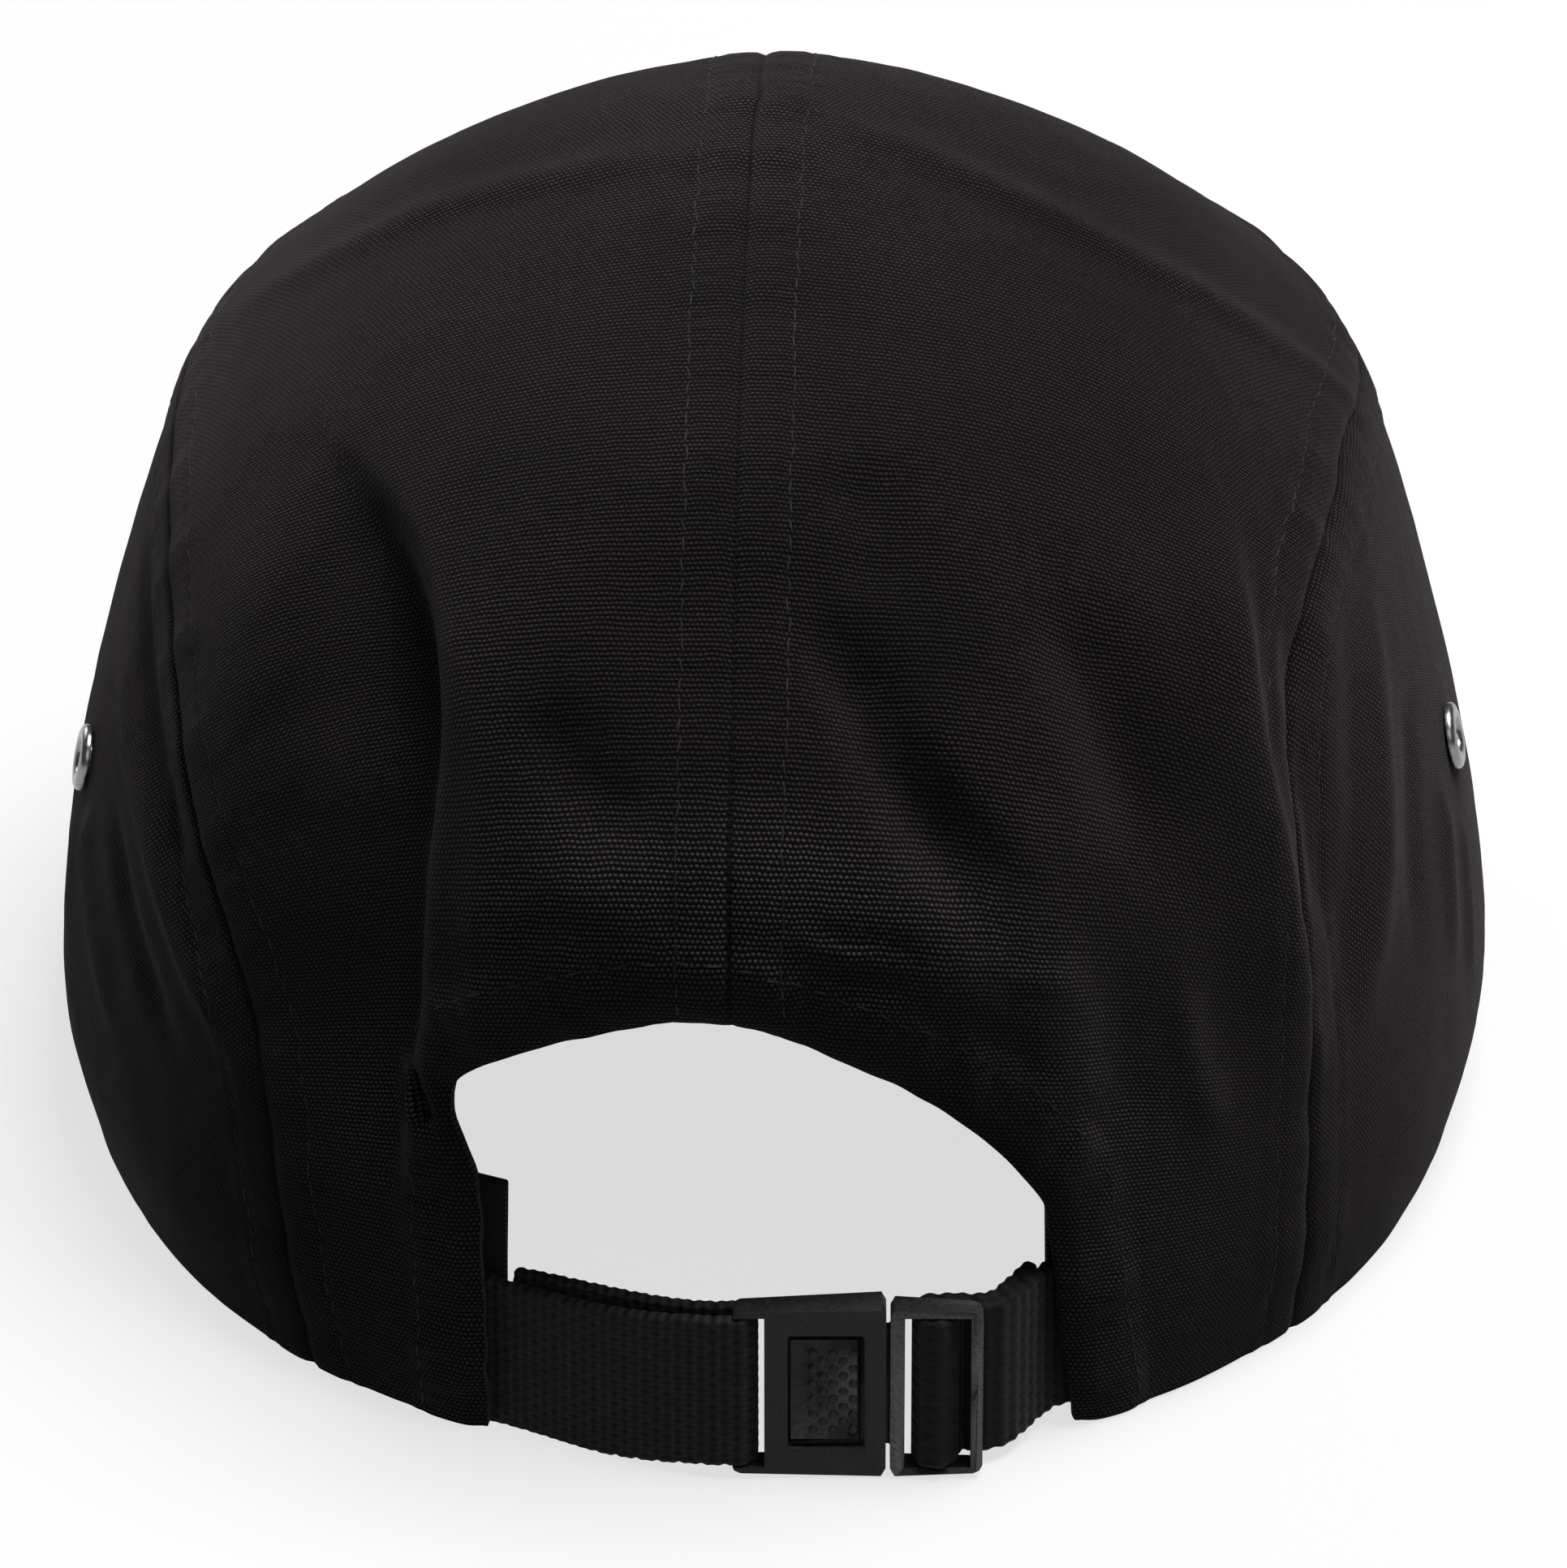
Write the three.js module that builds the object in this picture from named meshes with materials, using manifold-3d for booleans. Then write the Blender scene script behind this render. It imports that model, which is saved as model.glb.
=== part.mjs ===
// Five panel cap with a back strap, in millimetres.
// +Z is up, the peak points along -Y, and the buckle is at the back along +Y.
import * as THREE from 'three';
import { mergeVertices } from 'three/addons/utils/BufferGeometryUtils.js';
import Module from 'manifold-3d';

const wasm = await Module();
wasm.setup();

// Crown
const rimWidth = 172; // outside of the rim, side to side
const rimLength = 198; // outside of the rim, front to back
const crownHeight = 127; // rim to crest
const crestForward = 7; // the crest stands this far in front of the rim's middle
const squareness = 2.16; // exponent of the sections' superellipse
const clothWall = 1.6; // canvas with its seam allowance
const seamGap = 0.4; // between two panels
const fitGap = 0.3; // between pieces that lie on each other
const foldDepth = 4.5; // deepest fold

// Back opening
const openingWidth = 72;
const openingHeight = 60;
const openingPull = 22; // the cut starts this far inside the back of the crown

// Peak
const peakLength = 66; // past the front of the rim
const peakThick = 3;
const peakHalfTurn = 62; // degrees from the front to each corner
const peakTip = 1.6; // width kept at each corner
const peakSquareness = 2.3;
const frontLift = 7; // the middle of the front rim stands this far up on the peak's camber
const peakDroop = 0.45; // share of the camber lost at the front edge
const peakEase = 0.3; // share of the peak over which it leaves the rim's line
const camberPower = 1.5; // how late the camber starts from the corners

// Sweatband
const bandTall = 32.5;
const bandThick = 1.2;
const bandClearOfRim = 0.8;
const bandSlack = 0.2; // more room behind the cloth than pieces that lie flat on each other have
const bandPastTab = 1; // stands out past the left tab
const bandTuck = 2.4; // pushed in at the ends, to leave room for the webbing
const bandTuckTurn = 16; // degrees over which the ends are pushed in

// Webbing
const webbingWide = 20;
const webbingThick = 1.3;
const webbingLift = 1.9; // lower edge above the rim's plane, in the buckle
const webbingSag = 1.7; // it lies this much lower at the tabs
const webbingHidden = 8; // length behind each tab
const layerBack = 1.7; // step between the two layers beside the tabs
const runEase = 0.3; // share of a run over which it keeps the way that it leaves or arrives

// Buckle
const buckleProud = 3.8; // its face stands this far behind the crown
const buckleAside = 13.5; // the joint of its halves lies to the wearer's right
const buckleJointGap = 0.5;
const buckleTall = 23.2; // at the joint
const buckleEndTall = 22.4; // at the far ends
const notch = 1.1; // chamfer at the joint's corners
const slotClear = 0.4; // above and below the webbing
const socketLong = 18.2;
const socketDeep = 4.2;
const socketEndDeep = 3.2;
const socketSlot = 3.9; // from the socket's end to the slot's far wall
const socketBarRadius = 0.7;
const socketBarInset = 0.8; // from the socket's end to the bar's middle
const socketBarDepth = 2.3;
const windowLong = 8.9;
const windowTall = 15.5;
const windowInset = 2.6; // from the joint
const frontSkin = 1.3;
const plugLong = 10.9;
const plugDeep = 3.2;
const plugEndDeep = 2.7;
const plugPost = 1.7; // between the joint and the first slot
const plugEndBar = 1.4;
const plugBarRadius = 1;
const plugBarPlace = 5.35; // from the plug's joint face to the bar's middle
const tongueLong = 12.5;
const tongueTall = 16;
const tongueThick = 1.4;
const buttonRise = 0.6; // stands this far out of the tongue

// Eyelets
const eyeletOuter = 8.3;
const eyeletHole = 3.8;
const eyeletThick = 0.6;
const eyeletBarrel = 0.5;
const eyeletWasher = 0.86; // share of the outside, behind the cloth
const eyeletFlat = 7; // radius of cloth that the eyelet presses flat

// Facets
const backColumns = 14;
const seamRows = 30;
const shoulderRow = 10; // of the seam's rows, those from the rim to the shoulder
const frontRows = 9;
const peakRows = 7;
const bandColumns = 60;
const bandRows = 3;
const roundSteps = 12;
const webbingStep = 2.4;

// A row for each section, from the rim to just under the crest. height is a share of the crown's
// height, width of half the rim's width, back and front of the reach from the crest to the rim.
const sections = [
  { height: 0, width: 1, back: 1, front: 1 },
  { height: 0.11, width: 1.035, back: 1.004, front: 1 },
  { height: 0.252, width: 1.013, back: 1.002, front: 0.983 },
  { height: 0.394, width: 0.97, back: 0.989, front: 0.945 },
  { height: 0.551, width: 0.907, back: 0.968, front: 0.867 },
  { height: 0.693, width: 0.83, back: 0.888, front: 0.723 },
  { height: 0.795, width: 0.691, back: 0.775, front: 0.55 },
  { height: 0.874, width: 0.54, back: 0.632, front: 0.407 },
  { height: 0.929, width: 0.379, back: 0.453, front: 0.31 },
  { height: 0.976, width: 0.177, back: 0.226, front: 0.183 },
];

// Seams, a row for each place: turn in degrees about the crest (0 wearer's left, 90 the back),
// rise from 0 at the rim to 1 at the crest.
const seamLeft = [
  { turn: 57, rise: 0 }, { turn: 51.5, rise: 0.235 }, { turn: 37.5, rise: 0.37 },
  { turn: 20, rise: 0.452 }, { turn: 0, rise: 0.482 }, { turn: -24, rise: 0.492 },
  { turn: -46, rise: 0.5 },
];
const seamRight = [
  { turn: 129, rise: 0 }, { turn: 130, rise: 0.22 }, { turn: 132.5, rise: 0.385 },
  { turn: 140, rise: 0.478 }, { turn: 160, rise: 0.512 }, { turn: 190, rise: 0.487 },
  { turn: 226, rise: 0.5 },
];
const seamCentre = [{ turn: 87.5, rise: 0 }, { turn: 85.5, rise: 0.81 }, { turn: 270, rise: 0.55 }];
const frontSeamLeft = [{ turn: -50, rise: 0 }, { turn: -49, rise: 0.25 }, { turn: -46, rise: 0.5 }];
const frontSeamRight = [{ turn: 230, rise: 0 }, { turn: 229, rise: 0.25 }, { turn: 226, rise: 0.5 }];

// Folds, a row for each: it runs through three places. width is a share of half the rim's width,
// height a share of the deepest fold, down where it is negative.
const folds = [
  { name: 'dent beside the opening', places: [[38, 0.6], [55, 0.49], [61, 0.28]], width: 0.11, height: -1 },
  { name: 'proud of the dent', places: [[58, 0.59], [69, 0.47], [73, 0.29]], width: 0.09, height: 0.45 },
  { name: 'sharp ridge', places: [[137, 0.574], [128.5, 0.45], [129.5, 0.303]], width: 0.045, height: 0.45 },
  { name: 'hollow by the ridge', places: [[138, 0.5], [134, 0.4], [134, 0.28]], width: 0.07, height: -0.35 },
  { name: 'slanted valley', places: [[94, 0.6], [98.5, 0.49], [105.5, 0.385]], width: 0.06, height: -0.65 },
  { name: 'short valley', places: [[114, 0.57], [116, 0.485], [118, 0.42]], width: 0.07, height: -0.35 },
  { name: 'small valley', places: [[74, 0.49], [77, 0.47], [80, 0.46]], width: 0.05, height: -0.3 },
  { name: 'under the slope', places: [[108.5, 0.39], [108.5, 0.31], [110, 0.24]], width: 0.06, height: 0.35 },
  { name: 'crease left', places: [[352, 0.53], [8, 0.76], [76, 0.94]], width: 0.05, height: 0.18 },
  { name: 'crease right', places: [[155, 0.915], [160, 0.75], [175, 0.5]], width: 0.05, height: 0.18 },
  { name: 'side ridge left', places: [[11, 0.36], [33, 0.31], [52, 0.21]], width: 0.05, height: 0.4 },
  { name: 'low ridge left', places: [[8, 0.26], [20, 0.21], [33, 0.16]], width: 0.05, height: 0.3 },
  { name: 'side ridge right', places: [[155, 0.44], [146, 0.33], [135, 0.21]], width: 0.05, height: 0.4 },
  { name: 'low ridge right', places: [[162, 0.31], [158, 0.245], [154, 0.17]], width: 0.04, height: 0.3 },
];
const foldFade = [0.1, 0.34]; // folds grow from nothing to full over this rise

// Outline of the back opening from its left foot over the arch to its right foot: across is a
// share of half the opening's width, up a share of its height.
const archOutline = [
  { across: 0.945, up: -0.08 }, { across: 0.953, up: 0.3 }, { across: 0.972, up: 0.575 },
  { across: 1.05, up: 0.71 }, { across: 1.02, up: 0.785 }, { across: 0.84, up: 0.868 },
  { across: 0.5, up: 0.966 }, { across: 0.25, up: 1 }, { across: 0, up: 0.962 },
  { across: -0.375, up: 0.845 }, { across: -0.65, up: 0.715 }, { across: -0.845, up: 0.572 },
  { across: -0.905, up: 0.47 }, { across: -0.95, up: 0.215 }, { across: -1.015, up: -0.08 },
];

const eyeletPlaces = {
  left: { turn: 9.5, rise: 0.262 },
  right: { turn: 167.5, rise: 0.292 },
};

const halfWidth = rimWidth / 2;
const backReach = rimLength / 2 + crestForward;
const frontReach = rimLength / 2 - crestForward;
const degree = Math.PI / 180;

// Surface of the crown

function sectionValue(name, rise) {
  const last = sections.length;
  const value = (i) => {
    if (i < 0) return 2 * sections[0][name] - sections[1][name];
    if (i < last) return sections[i][name];
    if (i === last) return name === 'height' ? 1 : 0;
    return name === 'height' ? sections[2 * last - i].height : -sections[2 * last - i][name];
  };
  const place = Math.min(Math.max(rise, 0), 1) * last;
  const i = Math.min(Math.floor(place), last - 1);
  const f = place - i;
  const [a, b, c, d] = [value(i - 1), value(i), value(i + 1), value(i + 2)];
  return b + 0.5 * f * (c - a + f * (2 * a - 5 * b + 4 * c - d + f * (3 * (b - c) + d - a)));
}

// The crown is the image of a flat disc: its edge is the rim and its middle the crest.
function crownPoint(u, v) {
  const rho = Math.max(Math.hypot(u, v), 1e-6);
  const rise = 1 - rho;
  const cosine = u / rho;
  const sine = v / rho;
  const across = halfWidth * sectionValue('width', rise);
  const along = sine > 0 ? backReach * sectionValue('back', rise) : frontReach * sectionValue('front', rise);
  const sum = Math.abs(cosine / across) ** squareness + Math.abs(sine / along) ** squareness;
  const radius = sum ** (-1 / squareness);
  return new THREE.Vector3(
    radius * cosine,
    radius * sine - crestForward,
    crownHeight * sectionValue('height', rise),
  );
}

function crownNormal(u, v) {
  const step = 2e-3;
  const shrink = Math.min(1, (1 - step) / Math.max(Math.hypot(u, v), 1e-6));
  const [x, y] = [u * shrink, v * shrink];
  const alongU = crownPoint(x + step, y).sub(crownPoint(x - step, y));
  const alongV = crownPoint(x, y + step).sub(crownPoint(x, y - step));
  return alongU.cross(alongV).normalize();
}

function onDisc(turn, rise) {
  return new THREE.Vector2(Math.cos(turn * degree), Math.sin(turn * degree)).multiplyScalar(1 - rise);
}

function smoothStep(from, to, x) {
  const f = Math.min(Math.max((x - from) / (to - from), 0), 1);
  return f * f * (3 - 2 * f);
}

const foldPaths = folds.map(({ places, width, height }) => {
  const [start, middle, end] = places.map(([turn, rise]) => onDisc(turn, rise));
  const through = middle.clone().multiplyScalar(2).sub(start.clone().add(end).multiplyScalar(0.5));
  const flat = new THREE.QuadraticBezierCurve(start, through, end).getPoints(10);
  return {
    points: flat.map((p) => crownPoint(p.x, p.y)),
    reach: width * halfWidth,
    height: height * foldDepth,
  };
});

const eyeletCentres = Object.values(eyeletPlaces).map(({ turn, rise }) => {
  const flat = onDisc(turn, rise);
  return crownPoint(flat.x, flat.y);
});

function foldHeight(point, rise) {
  const span = new THREE.Line3();
  const nearest = new THREE.Vector3();
  let height = 0;
  for (const path of foldPaths) {
    let distance = Infinity;
    for (let i = 0; i + 1 < path.points.length; i += 1) {
      span.set(path.points[i], path.points[i + 1]).closestPointToPoint(point, true, nearest);
      distance = Math.min(distance, nearest.distanceTo(point));
    }
    height += path.height * Math.exp(-((distance / path.reach) ** 2));
  }
  const clear = Math.min(...eyeletCentres.map((centre) => centre.distanceTo(point)));
  return height * smoothStep(foldFade[0], foldFade[1], rise) * smoothStep(eyeletFlat, 2 * eyeletFlat, clear);
}

// A place in the cloth, depth below its outer face. Ridges lift it by no more than the given height.
function clothPoint(flat, depth, highest = Infinity) {
  const point = crownPoint(flat.x, flat.y);
  const lift = Math.min(foldHeight(point, 1 - flat.length()), highest);
  return point.addScaledVector(crownNormal(flat.x, flat.y), lift - depth);
}

function riseAtHeight(height) {
  let [low, high] = [0, 1];
  for (let i = 0; i < 40; i += 1) {
    const middle = (low + high) / 2;
    if (crownHeight * sectionValue('height', middle) < height) low = middle;
    else high = middle;
  }
  return (low + high) / 2;
}

// Peak's corner and camber, which the front of the rim follows

const peakCorner = (() => {
  const flat = onDisc(270 + peakHalfTurn, 0);
  return crownPoint(flat.x, flat.y);
})();
const peakHalfWidth = peakCorner.x + peakTip;

function camber(x) {
  return frontLift * Math.max(0, 1 - (x / peakHalfWidth) ** 2) ** camberPower;
}

function rimLift(turn) {
  const fromFront = Math.abs(((turn + 90 + 540) % 360) - 180);
  if (fromFront > peakHalfTurn) return 0;
  const flat = onDisc(turn, 0);
  return camber(crownPoint(flat.x, flat.y).x);
}

function rimPlace(turn) {
  return onDisc(turn, riseAtHeight(rimLift(turn)));
}

// Solids and meshes

function solidOf(geometry) {
  const bare = new THREE.BufferGeometry();
  bare.setAttribute('position', geometry.getAttribute('position'));
  bare.setIndex(geometry.index);
  const merged = mergeVertices(bare, 1e-4);
  return new wasm.Manifold(new wasm.Mesh({
    numProp: 3,
    vertProperties: new Float32Array(merged.getAttribute('position').array),
    triVerts: new Uint32Array(merged.index.array),
  }));
}

function geometryOf(solid) {
  const mesh = solid.getMesh();
  const geometry = new THREE.BufferGeometry();
  geometry.setAttribute('position', new THREE.BufferAttribute(mesh.vertProperties, 3));
  geometry.setIndex(new THREE.BufferAttribute(mesh.triVerts, 1));
  geometry.computeVertexNormals();
  return geometry;
}

function signedVolume(points, faces) {
  let volume = 0;
  for (let i = 0; i < faces.length; i += 3) {
    const [a, b, c] = [points[faces[i]], points[faces[i + 1]], points[faces[i + 2]]];
    volume += a.dot(new THREE.Vector3().crossVectors(b, c)) / 6;
  }
  return volume;
}

// A wall between two grids of points, closed along its four edges.
function wallBetween(outer, inner) {
  const [rows, columns] = [outer.length, outer[0].length];
  const points = [...outer.flat(), ...inner.flat()];
  const out = (i, j) => i * columns + j;
  const into = (i, j) => rows * columns + i * columns + j;
  const faces = [];
  const quad = (a, b, c, d) => faces.push(a, b, c, a, c, d);
  for (let i = 0; i + 1 < rows; i += 1) {
    for (let j = 0; j + 1 < columns; j += 1) {
      quad(out(i, j), out(i, j + 1), out(i + 1, j + 1), out(i + 1, j));
      quad(into(i, j), into(i + 1, j), into(i + 1, j + 1), into(i, j + 1));
    }
    quad(out(i, 0), out(i + 1, 0), into(i + 1, 0), into(i, 0));
    quad(out(i + 1, columns - 1), out(i, columns - 1), into(i, columns - 1), into(i + 1, columns - 1));
  }
  for (let j = 0; j + 1 < columns; j += 1) {
    quad(out(0, j + 1), out(0, j), into(0, j), into(0, j + 1));
    quad(out(rows - 1, j), out(rows - 1, j + 1), into(rows - 1, j + 1), into(rows - 1, j));
  }
  if (signedVolume(points, faces) < 0) faces.reverse();
  const geometry = new THREE.BufferGeometry().setFromPoints(points);
  geometry.setIndex(faces);
  geometry.computeVertexNormals();
  return geometry;
}

// Panels

function seamPlaces(table, steps) {
  const flat = table.map(({ turn, rise }) => onDisc(turn, rise));
  const curve = new THREE.SplineCurve(flat);
  return curve.getPoints(steps);
}

function rimPlaces(from, to, steps) {
  return Array.from({ length: steps + 1 }, (_, i) => rimPlace(from + ((to - from) * i) / steps));
}

// A front seam starts on the front rim, which the peak lifts.
function frontSeamPlaces(table, steps) {
  const places = seamPlaces(table, steps);
  places[0] = rimPlace(table[0].turn);
  return places;
}

// Fills the flat patch between four edges: bottom and top run along the columns,
// first and last along the rows.
function patch(bottom, top, first, last) {
  const [columns, rows] = [bottom.length - 1, first.length - 1];
  const mix = (p, q, f) => p.clone().lerp(q, f);
  return first.map((_, i) => bottom.map((__, j) => {
    const [a, b] = [j / columns, i / rows];
    const ruled = mix(bottom[j], top[j], b).add(mix(first[i], last[i], a));
    const corners = mix(mix(bottom[0], bottom[columns], a), mix(top[0], top[columns], a), b);
    return ruled.sub(corners);
  }));
}

// Cloth over a flat patch. All edges but the rim are sewn, and stand back by half the seam's gap.
function panelGeometry(flat) {
  const grid = (depth) => flat.map((row) => row.map((place) => clothPoint(place, depth)));
  const [outer, inner] = [grid(0), grid(clothWall)];
  const [lastRow, lastColumn] = [flat.length - 1, flat[0].length - 1];
  const moves = [];
  const edge = (i, j, before, after, inside) => {
    const along = after.clone().sub(before);
    const place = flat[i][j];
    const inward = crownNormal(place.x, place.y).cross(along).setLength(seamGap / 2);
    if (inward.dot(inside.clone().sub(outer[i][j])) < 0) inward.negate();
    moves.push([i, j, inward]);
  };
  for (let i = 0; i <= lastRow; i += 1) {
    const [before, after] = [Math.max(i - 1, 0), Math.min(i + 1, lastRow)];
    edge(i, 0, outer[before][0], outer[after][0], outer[i][1]);
    edge(i, lastColumn, outer[before][lastColumn], outer[after][lastColumn], outer[i][lastColumn - 1]);
  }
  for (let j = 0; j <= lastColumn; j += 1) {
    const [before, after] = [Math.max(j - 1, 0), Math.min(j + 1, lastColumn)];
    edge(lastRow, j, outer[lastRow][before], outer[lastRow][after], outer[lastRow - 1][j]);
  }
  for (const [i, j, move] of moves) {
    outer[i][j].add(move);
    inner[i][j].add(move);
  }
  // The rim is cut flat across the cloth.
  outer[0].forEach((point, j) => {
    point.z = rimLift(Math.atan2(flat[0][j].y, flat[0][j].x) / degree);
    inner[0][j].z = point.z;
  });
  return wallBetween(outer, inner);
}

const leftSeam = seamPlaces(seamLeft, seamRows);
const rightSeam = seamPlaces(seamRight, seamRows);
const centreSeam = seamPlaces(seamCentre, seamRows);
const topSeam = seamPlaces([seamRight.at(-1), seamCentre.at(-1), seamLeft.at(-1)], 2 * backColumns);

function backPanel(sideSeam, table, top) {
  const rim = rimPlaces(table[0].turn, seamCentre[0].turn, backColumns);
  return solidOf(panelGeometry(patch(rim, top, sideSeam, centreSeam)));
}

// The upper part of a side seam is the side panel's top, the lower part its back.
function sidePanel(sideSeam, table, frontTable) {
  const rim = rimPlaces(frontTable[0].turn, table[0].turn, seamRows - shoulderRow);
  const top = sideSeam.slice(shoulderRow).reverse();
  const back = sideSeam.slice(0, shoulderRow + 1);
  return solidOf(panelGeometry(patch(rim, top, frontSeamPlaces(frontTable, shoulderRow), back)));
}

function frontPanel() {
  const rim = rimPlaces(frontSeamRight[0].turn, frontSeamLeft[0].turn + 360, 2 * backColumns);
  const right = frontSeamPlaces(frontSeamRight, frontRows);
  const left = frontSeamPlaces(frontSeamLeft, frontRows);
  return panelGeometry(patch(rim, topSeam, right, left));
}

function archCutter() {
  const outline = archOutline.map(
    ({ across, up }) => new THREE.Vector2((across * openingWidth) / 2, up * openingHeight),
  );
  const shape = new THREE.Shape(new THREE.SplineCurve(outline).getPoints(3 * (outline.length - 1)));
  const depth = 2 * openingPull;
  const cutter = new THREE.ExtrudeGeometry(shape, { depth, bevelEnabled: false, steps: 1 });
  cutter.rotateX(Math.PI / 2);
  cutter.translate(0, backReach - crestForward + depth / 2, 0);
  return solidOf(cutter);
}

// Eyelets

function eyeletFrame({ turn, rise }) {
  const flat = onDisc(turn, rise);
  const out = crownNormal(flat.x, flat.y);
  const quaternion = new THREE.Quaternion().setFromUnitVectors(new THREE.Vector3(0, 1, 0), out);
  return { position: clothPoint(flat, 0), quaternion };
}

function eyeletGeometry() {
  const hole = eyeletHole / 2;
  const barrel = hole + eyeletBarrel;
  const rim = eyeletOuter / 2;
  const top = fitGap + eyeletThick;
  const bottom = -clothWall - fitGap;
  const washer = rim * eyeletWasher;
  const profile = [
    [hole, bottom - eyeletBarrel], [washer, bottom - eyeletBarrel], [washer, bottom],
    [barrel, bottom], [barrel, fitGap], [rim, fitGap], [rim, fitGap + eyeletThick / 2],
    [(rim + barrel) / 2, top], [hole, top - eyeletThick / 4], [hole, bottom - eyeletBarrel],
  ];
  return new THREE.LatheGeometry(profile.map(([x, y]) => new THREE.Vector2(x, y)), roundSteps);
}

function eyeletCutter(place) {
  const radius = eyeletHole / 2 + eyeletBarrel + fitGap;
  const cutter = new THREE.CylinderGeometry(radius, radius, 8 * clothWall, roundSteps);
  const { position, quaternion } = eyeletFrame(place);
  cutter.applyQuaternion(quaternion).translate(position.x, position.y, position.z);
  return solidOf(cutter);
}

// Peak

function peakGeometry() {
  const steps = 2 * backColumns;
  const rows = Array.from({ length: peakRows + 1 }, (_, i) => i / peakRows);
  const reach = frontReach + crestForward + peakLength + peakCorner.y;
  const grid = (thick) => rows.map((b) => Array.from({ length: steps + 1 }, (_, j) => {
    const a = (2 * j) / steps - 1;
    const flat = onDisc(270 + a * peakHalfTurn, riseAtHeight(rimLift(270 + a * peakHalfTurn) + thick));
    const inner = crownPoint(flat.x, flat.y);
    const out = new THREE.Vector3(inner.x, inner.y + crestForward, 0).setLength(fitGap);
    inner.add(out);
    const angle = (a * Math.PI) / 2;
    const power = 2 / peakSquareness;
    const outer = new THREE.Vector3(
      Math.sign(a) * peakHalfWidth * Math.abs(Math.sin(angle)) ** power,
      peakCorner.y - reach * Math.max(Math.cos(angle), 0) ** power,
      0,
    );
    const point = inner.clone().lerp(outer, b);
    const edge = rimLift(270 + a * peakHalfTurn);
    const free = camber(point.x) * (1 - peakDroop * b * b);
    point.z = edge + (free - edge) * smoothStep(0, peakEase, b) + thick;
    return point;
  }));
  return wallBetween(grid(peakThick), grid(0));
}

// Turn about the crest at which the crown's outside passes x, on the back, at a height.
function turnAt(x, height) {
  const rise = riseAtHeight(height);
  let [low, high] = [0, 180];
  for (let i = 0; i < 40; i += 1) {
    const middle = (low + high) / 2;
    const flat = onDisc(middle, rise);
    if (crownPoint(flat.x, flat.y).x > x) low = middle;
    else high = middle;
  }
  return (low + high) / 2;
}

const webbingMiddle = webbingLift + webbingWide / 2;
const footLeft = (archOutline[1].across * openingWidth) / 2;
const footRight = (archOutline.at(-2).across * openingWidth) / 2;
const tabLeft = turnAt(footLeft, webbingMiddle);
const tabRight = turnAt(footRight, webbingMiddle);

// Sweatband: it lies against the dents of the cloth, and the ridges stand off it

function sweatbandGeometry() {
  const pastTab = bandPastTab / backReach / degree;
  const from = tabRight;
  const to = 360 + tabLeft + pastTab;
  const rows = Array.from({ length: bandRows + 1 }, (_, i) => i / bandRows);
  const grid = (depth) => rows.map((b) => Array.from({ length: bandColumns + 1 }, (_, j) => {
    const turn = from + ((to - from) * j) / bandColumns;
    const end = Math.min(turn - from, to - turn);
    const tuck = bandTuck * (1 - smoothStep(bandTuckTurn / 2, bandTuckTurn, end));
    const low = rimLift(turn) + bandClearOfRim;
    const height = low + b * (bandTall - low);
    const under = clothWall + fitGap + bandSlack + tuck;
    return clothPoint(onDisc(turn, riseAtHeight(height)), under + depth, 0);
  }));
  return wallBetween(grid(0), grid(bandThick));
}

// Strap: x runs along it to the wearer's right from the buckle's joint, y in from the buckle's face

const strap = new THREE.Group();
strap.rotation.z = Math.PI;
strap.position.set(-buckleAside, backReach - crestForward + buckleProud, 0);
const halfJoint = buckleJointGap / 2;
const webbingHalf = webbingThick / 2;

// A place on the crown beside the rim and the direction of the rim there, in the strap's own frame.
function rimFrame(turn, depth) {
  const at = (angle) => {
    const flat = onDisc(angle, 0);
    const point = clothPoint(flat, 0);
    const out = crownNormal(flat.x, flat.y).setZ(0).setLength(depth);
    point.sub(out);
    return new THREE.Vector2(strap.position.x - point.x, strap.position.y - point.y);
  };
  const place = at(turn);
  return { place, along: at(turn + 0.5).sub(at(turn - 0.5)).normalize() };
}

// Webbing on edge along a line, level in the buckle and lower towards its tab.
function ribbonGeometry(centre, tabPlace, bucklePlace) {
  const side = (sign) => centre.map((point, i) => {
    const before = centre[Math.max(i - 1, 0)];
    const after = centre[Math.min(i + 1, centre.length - 1)];
    const along = after.clone().sub(before).normalize();
    return new THREE.Vector2(-along.y, along.x).multiplyScalar(sign * webbingHalf).add(point);
  });
  const shape = new THREE.Shape([...side(1), ...side(-1).reverse()]);
  const geometry = new THREE.ExtrudeGeometry(shape, { depth: webbingWide, bevelEnabled: false, steps: 1 });
  const places = geometry.getAttribute('position');
  for (let i = 0; i < places.count; i += 1) {
    const towardsTab = (places.getX(i) - bucklePlace) / (tabPlace - bucklePlace);
    const sag = webbingSag * THREE.MathUtils.clamp(towardsTab, 0, 1);
    places.setZ(i, places.getZ(i) + webbingLift - sag);
  }
  return geometry;
}

// A smooth run from one place to another, leaving and arriving along given directions.
function runPoints(from, leaving, to, arriving) {
  const ease = from.distanceTo(to) * runEase;
  const nearStart = from.clone().addScaledVector(leaving, ease);
  const nearEnd = to.clone().addScaledVector(arriving, -ease);
  const curve = new THREE.CubicBezierCurve(from, nearStart, nearEnd, to);
  return curve.getSpacedPoints(Math.ceil(curve.getLength() / webbingStep));
}

function arcPoints(centre, radius, from, to) {
  const curve = new THREE.EllipseCurve(centre.x, centre.y, radius, radius, from, to, to < from);
  return curve.getPoints(Math.ceil((Math.abs(to - from) / Math.PI) * (roundSteps / 2)));
}

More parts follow.
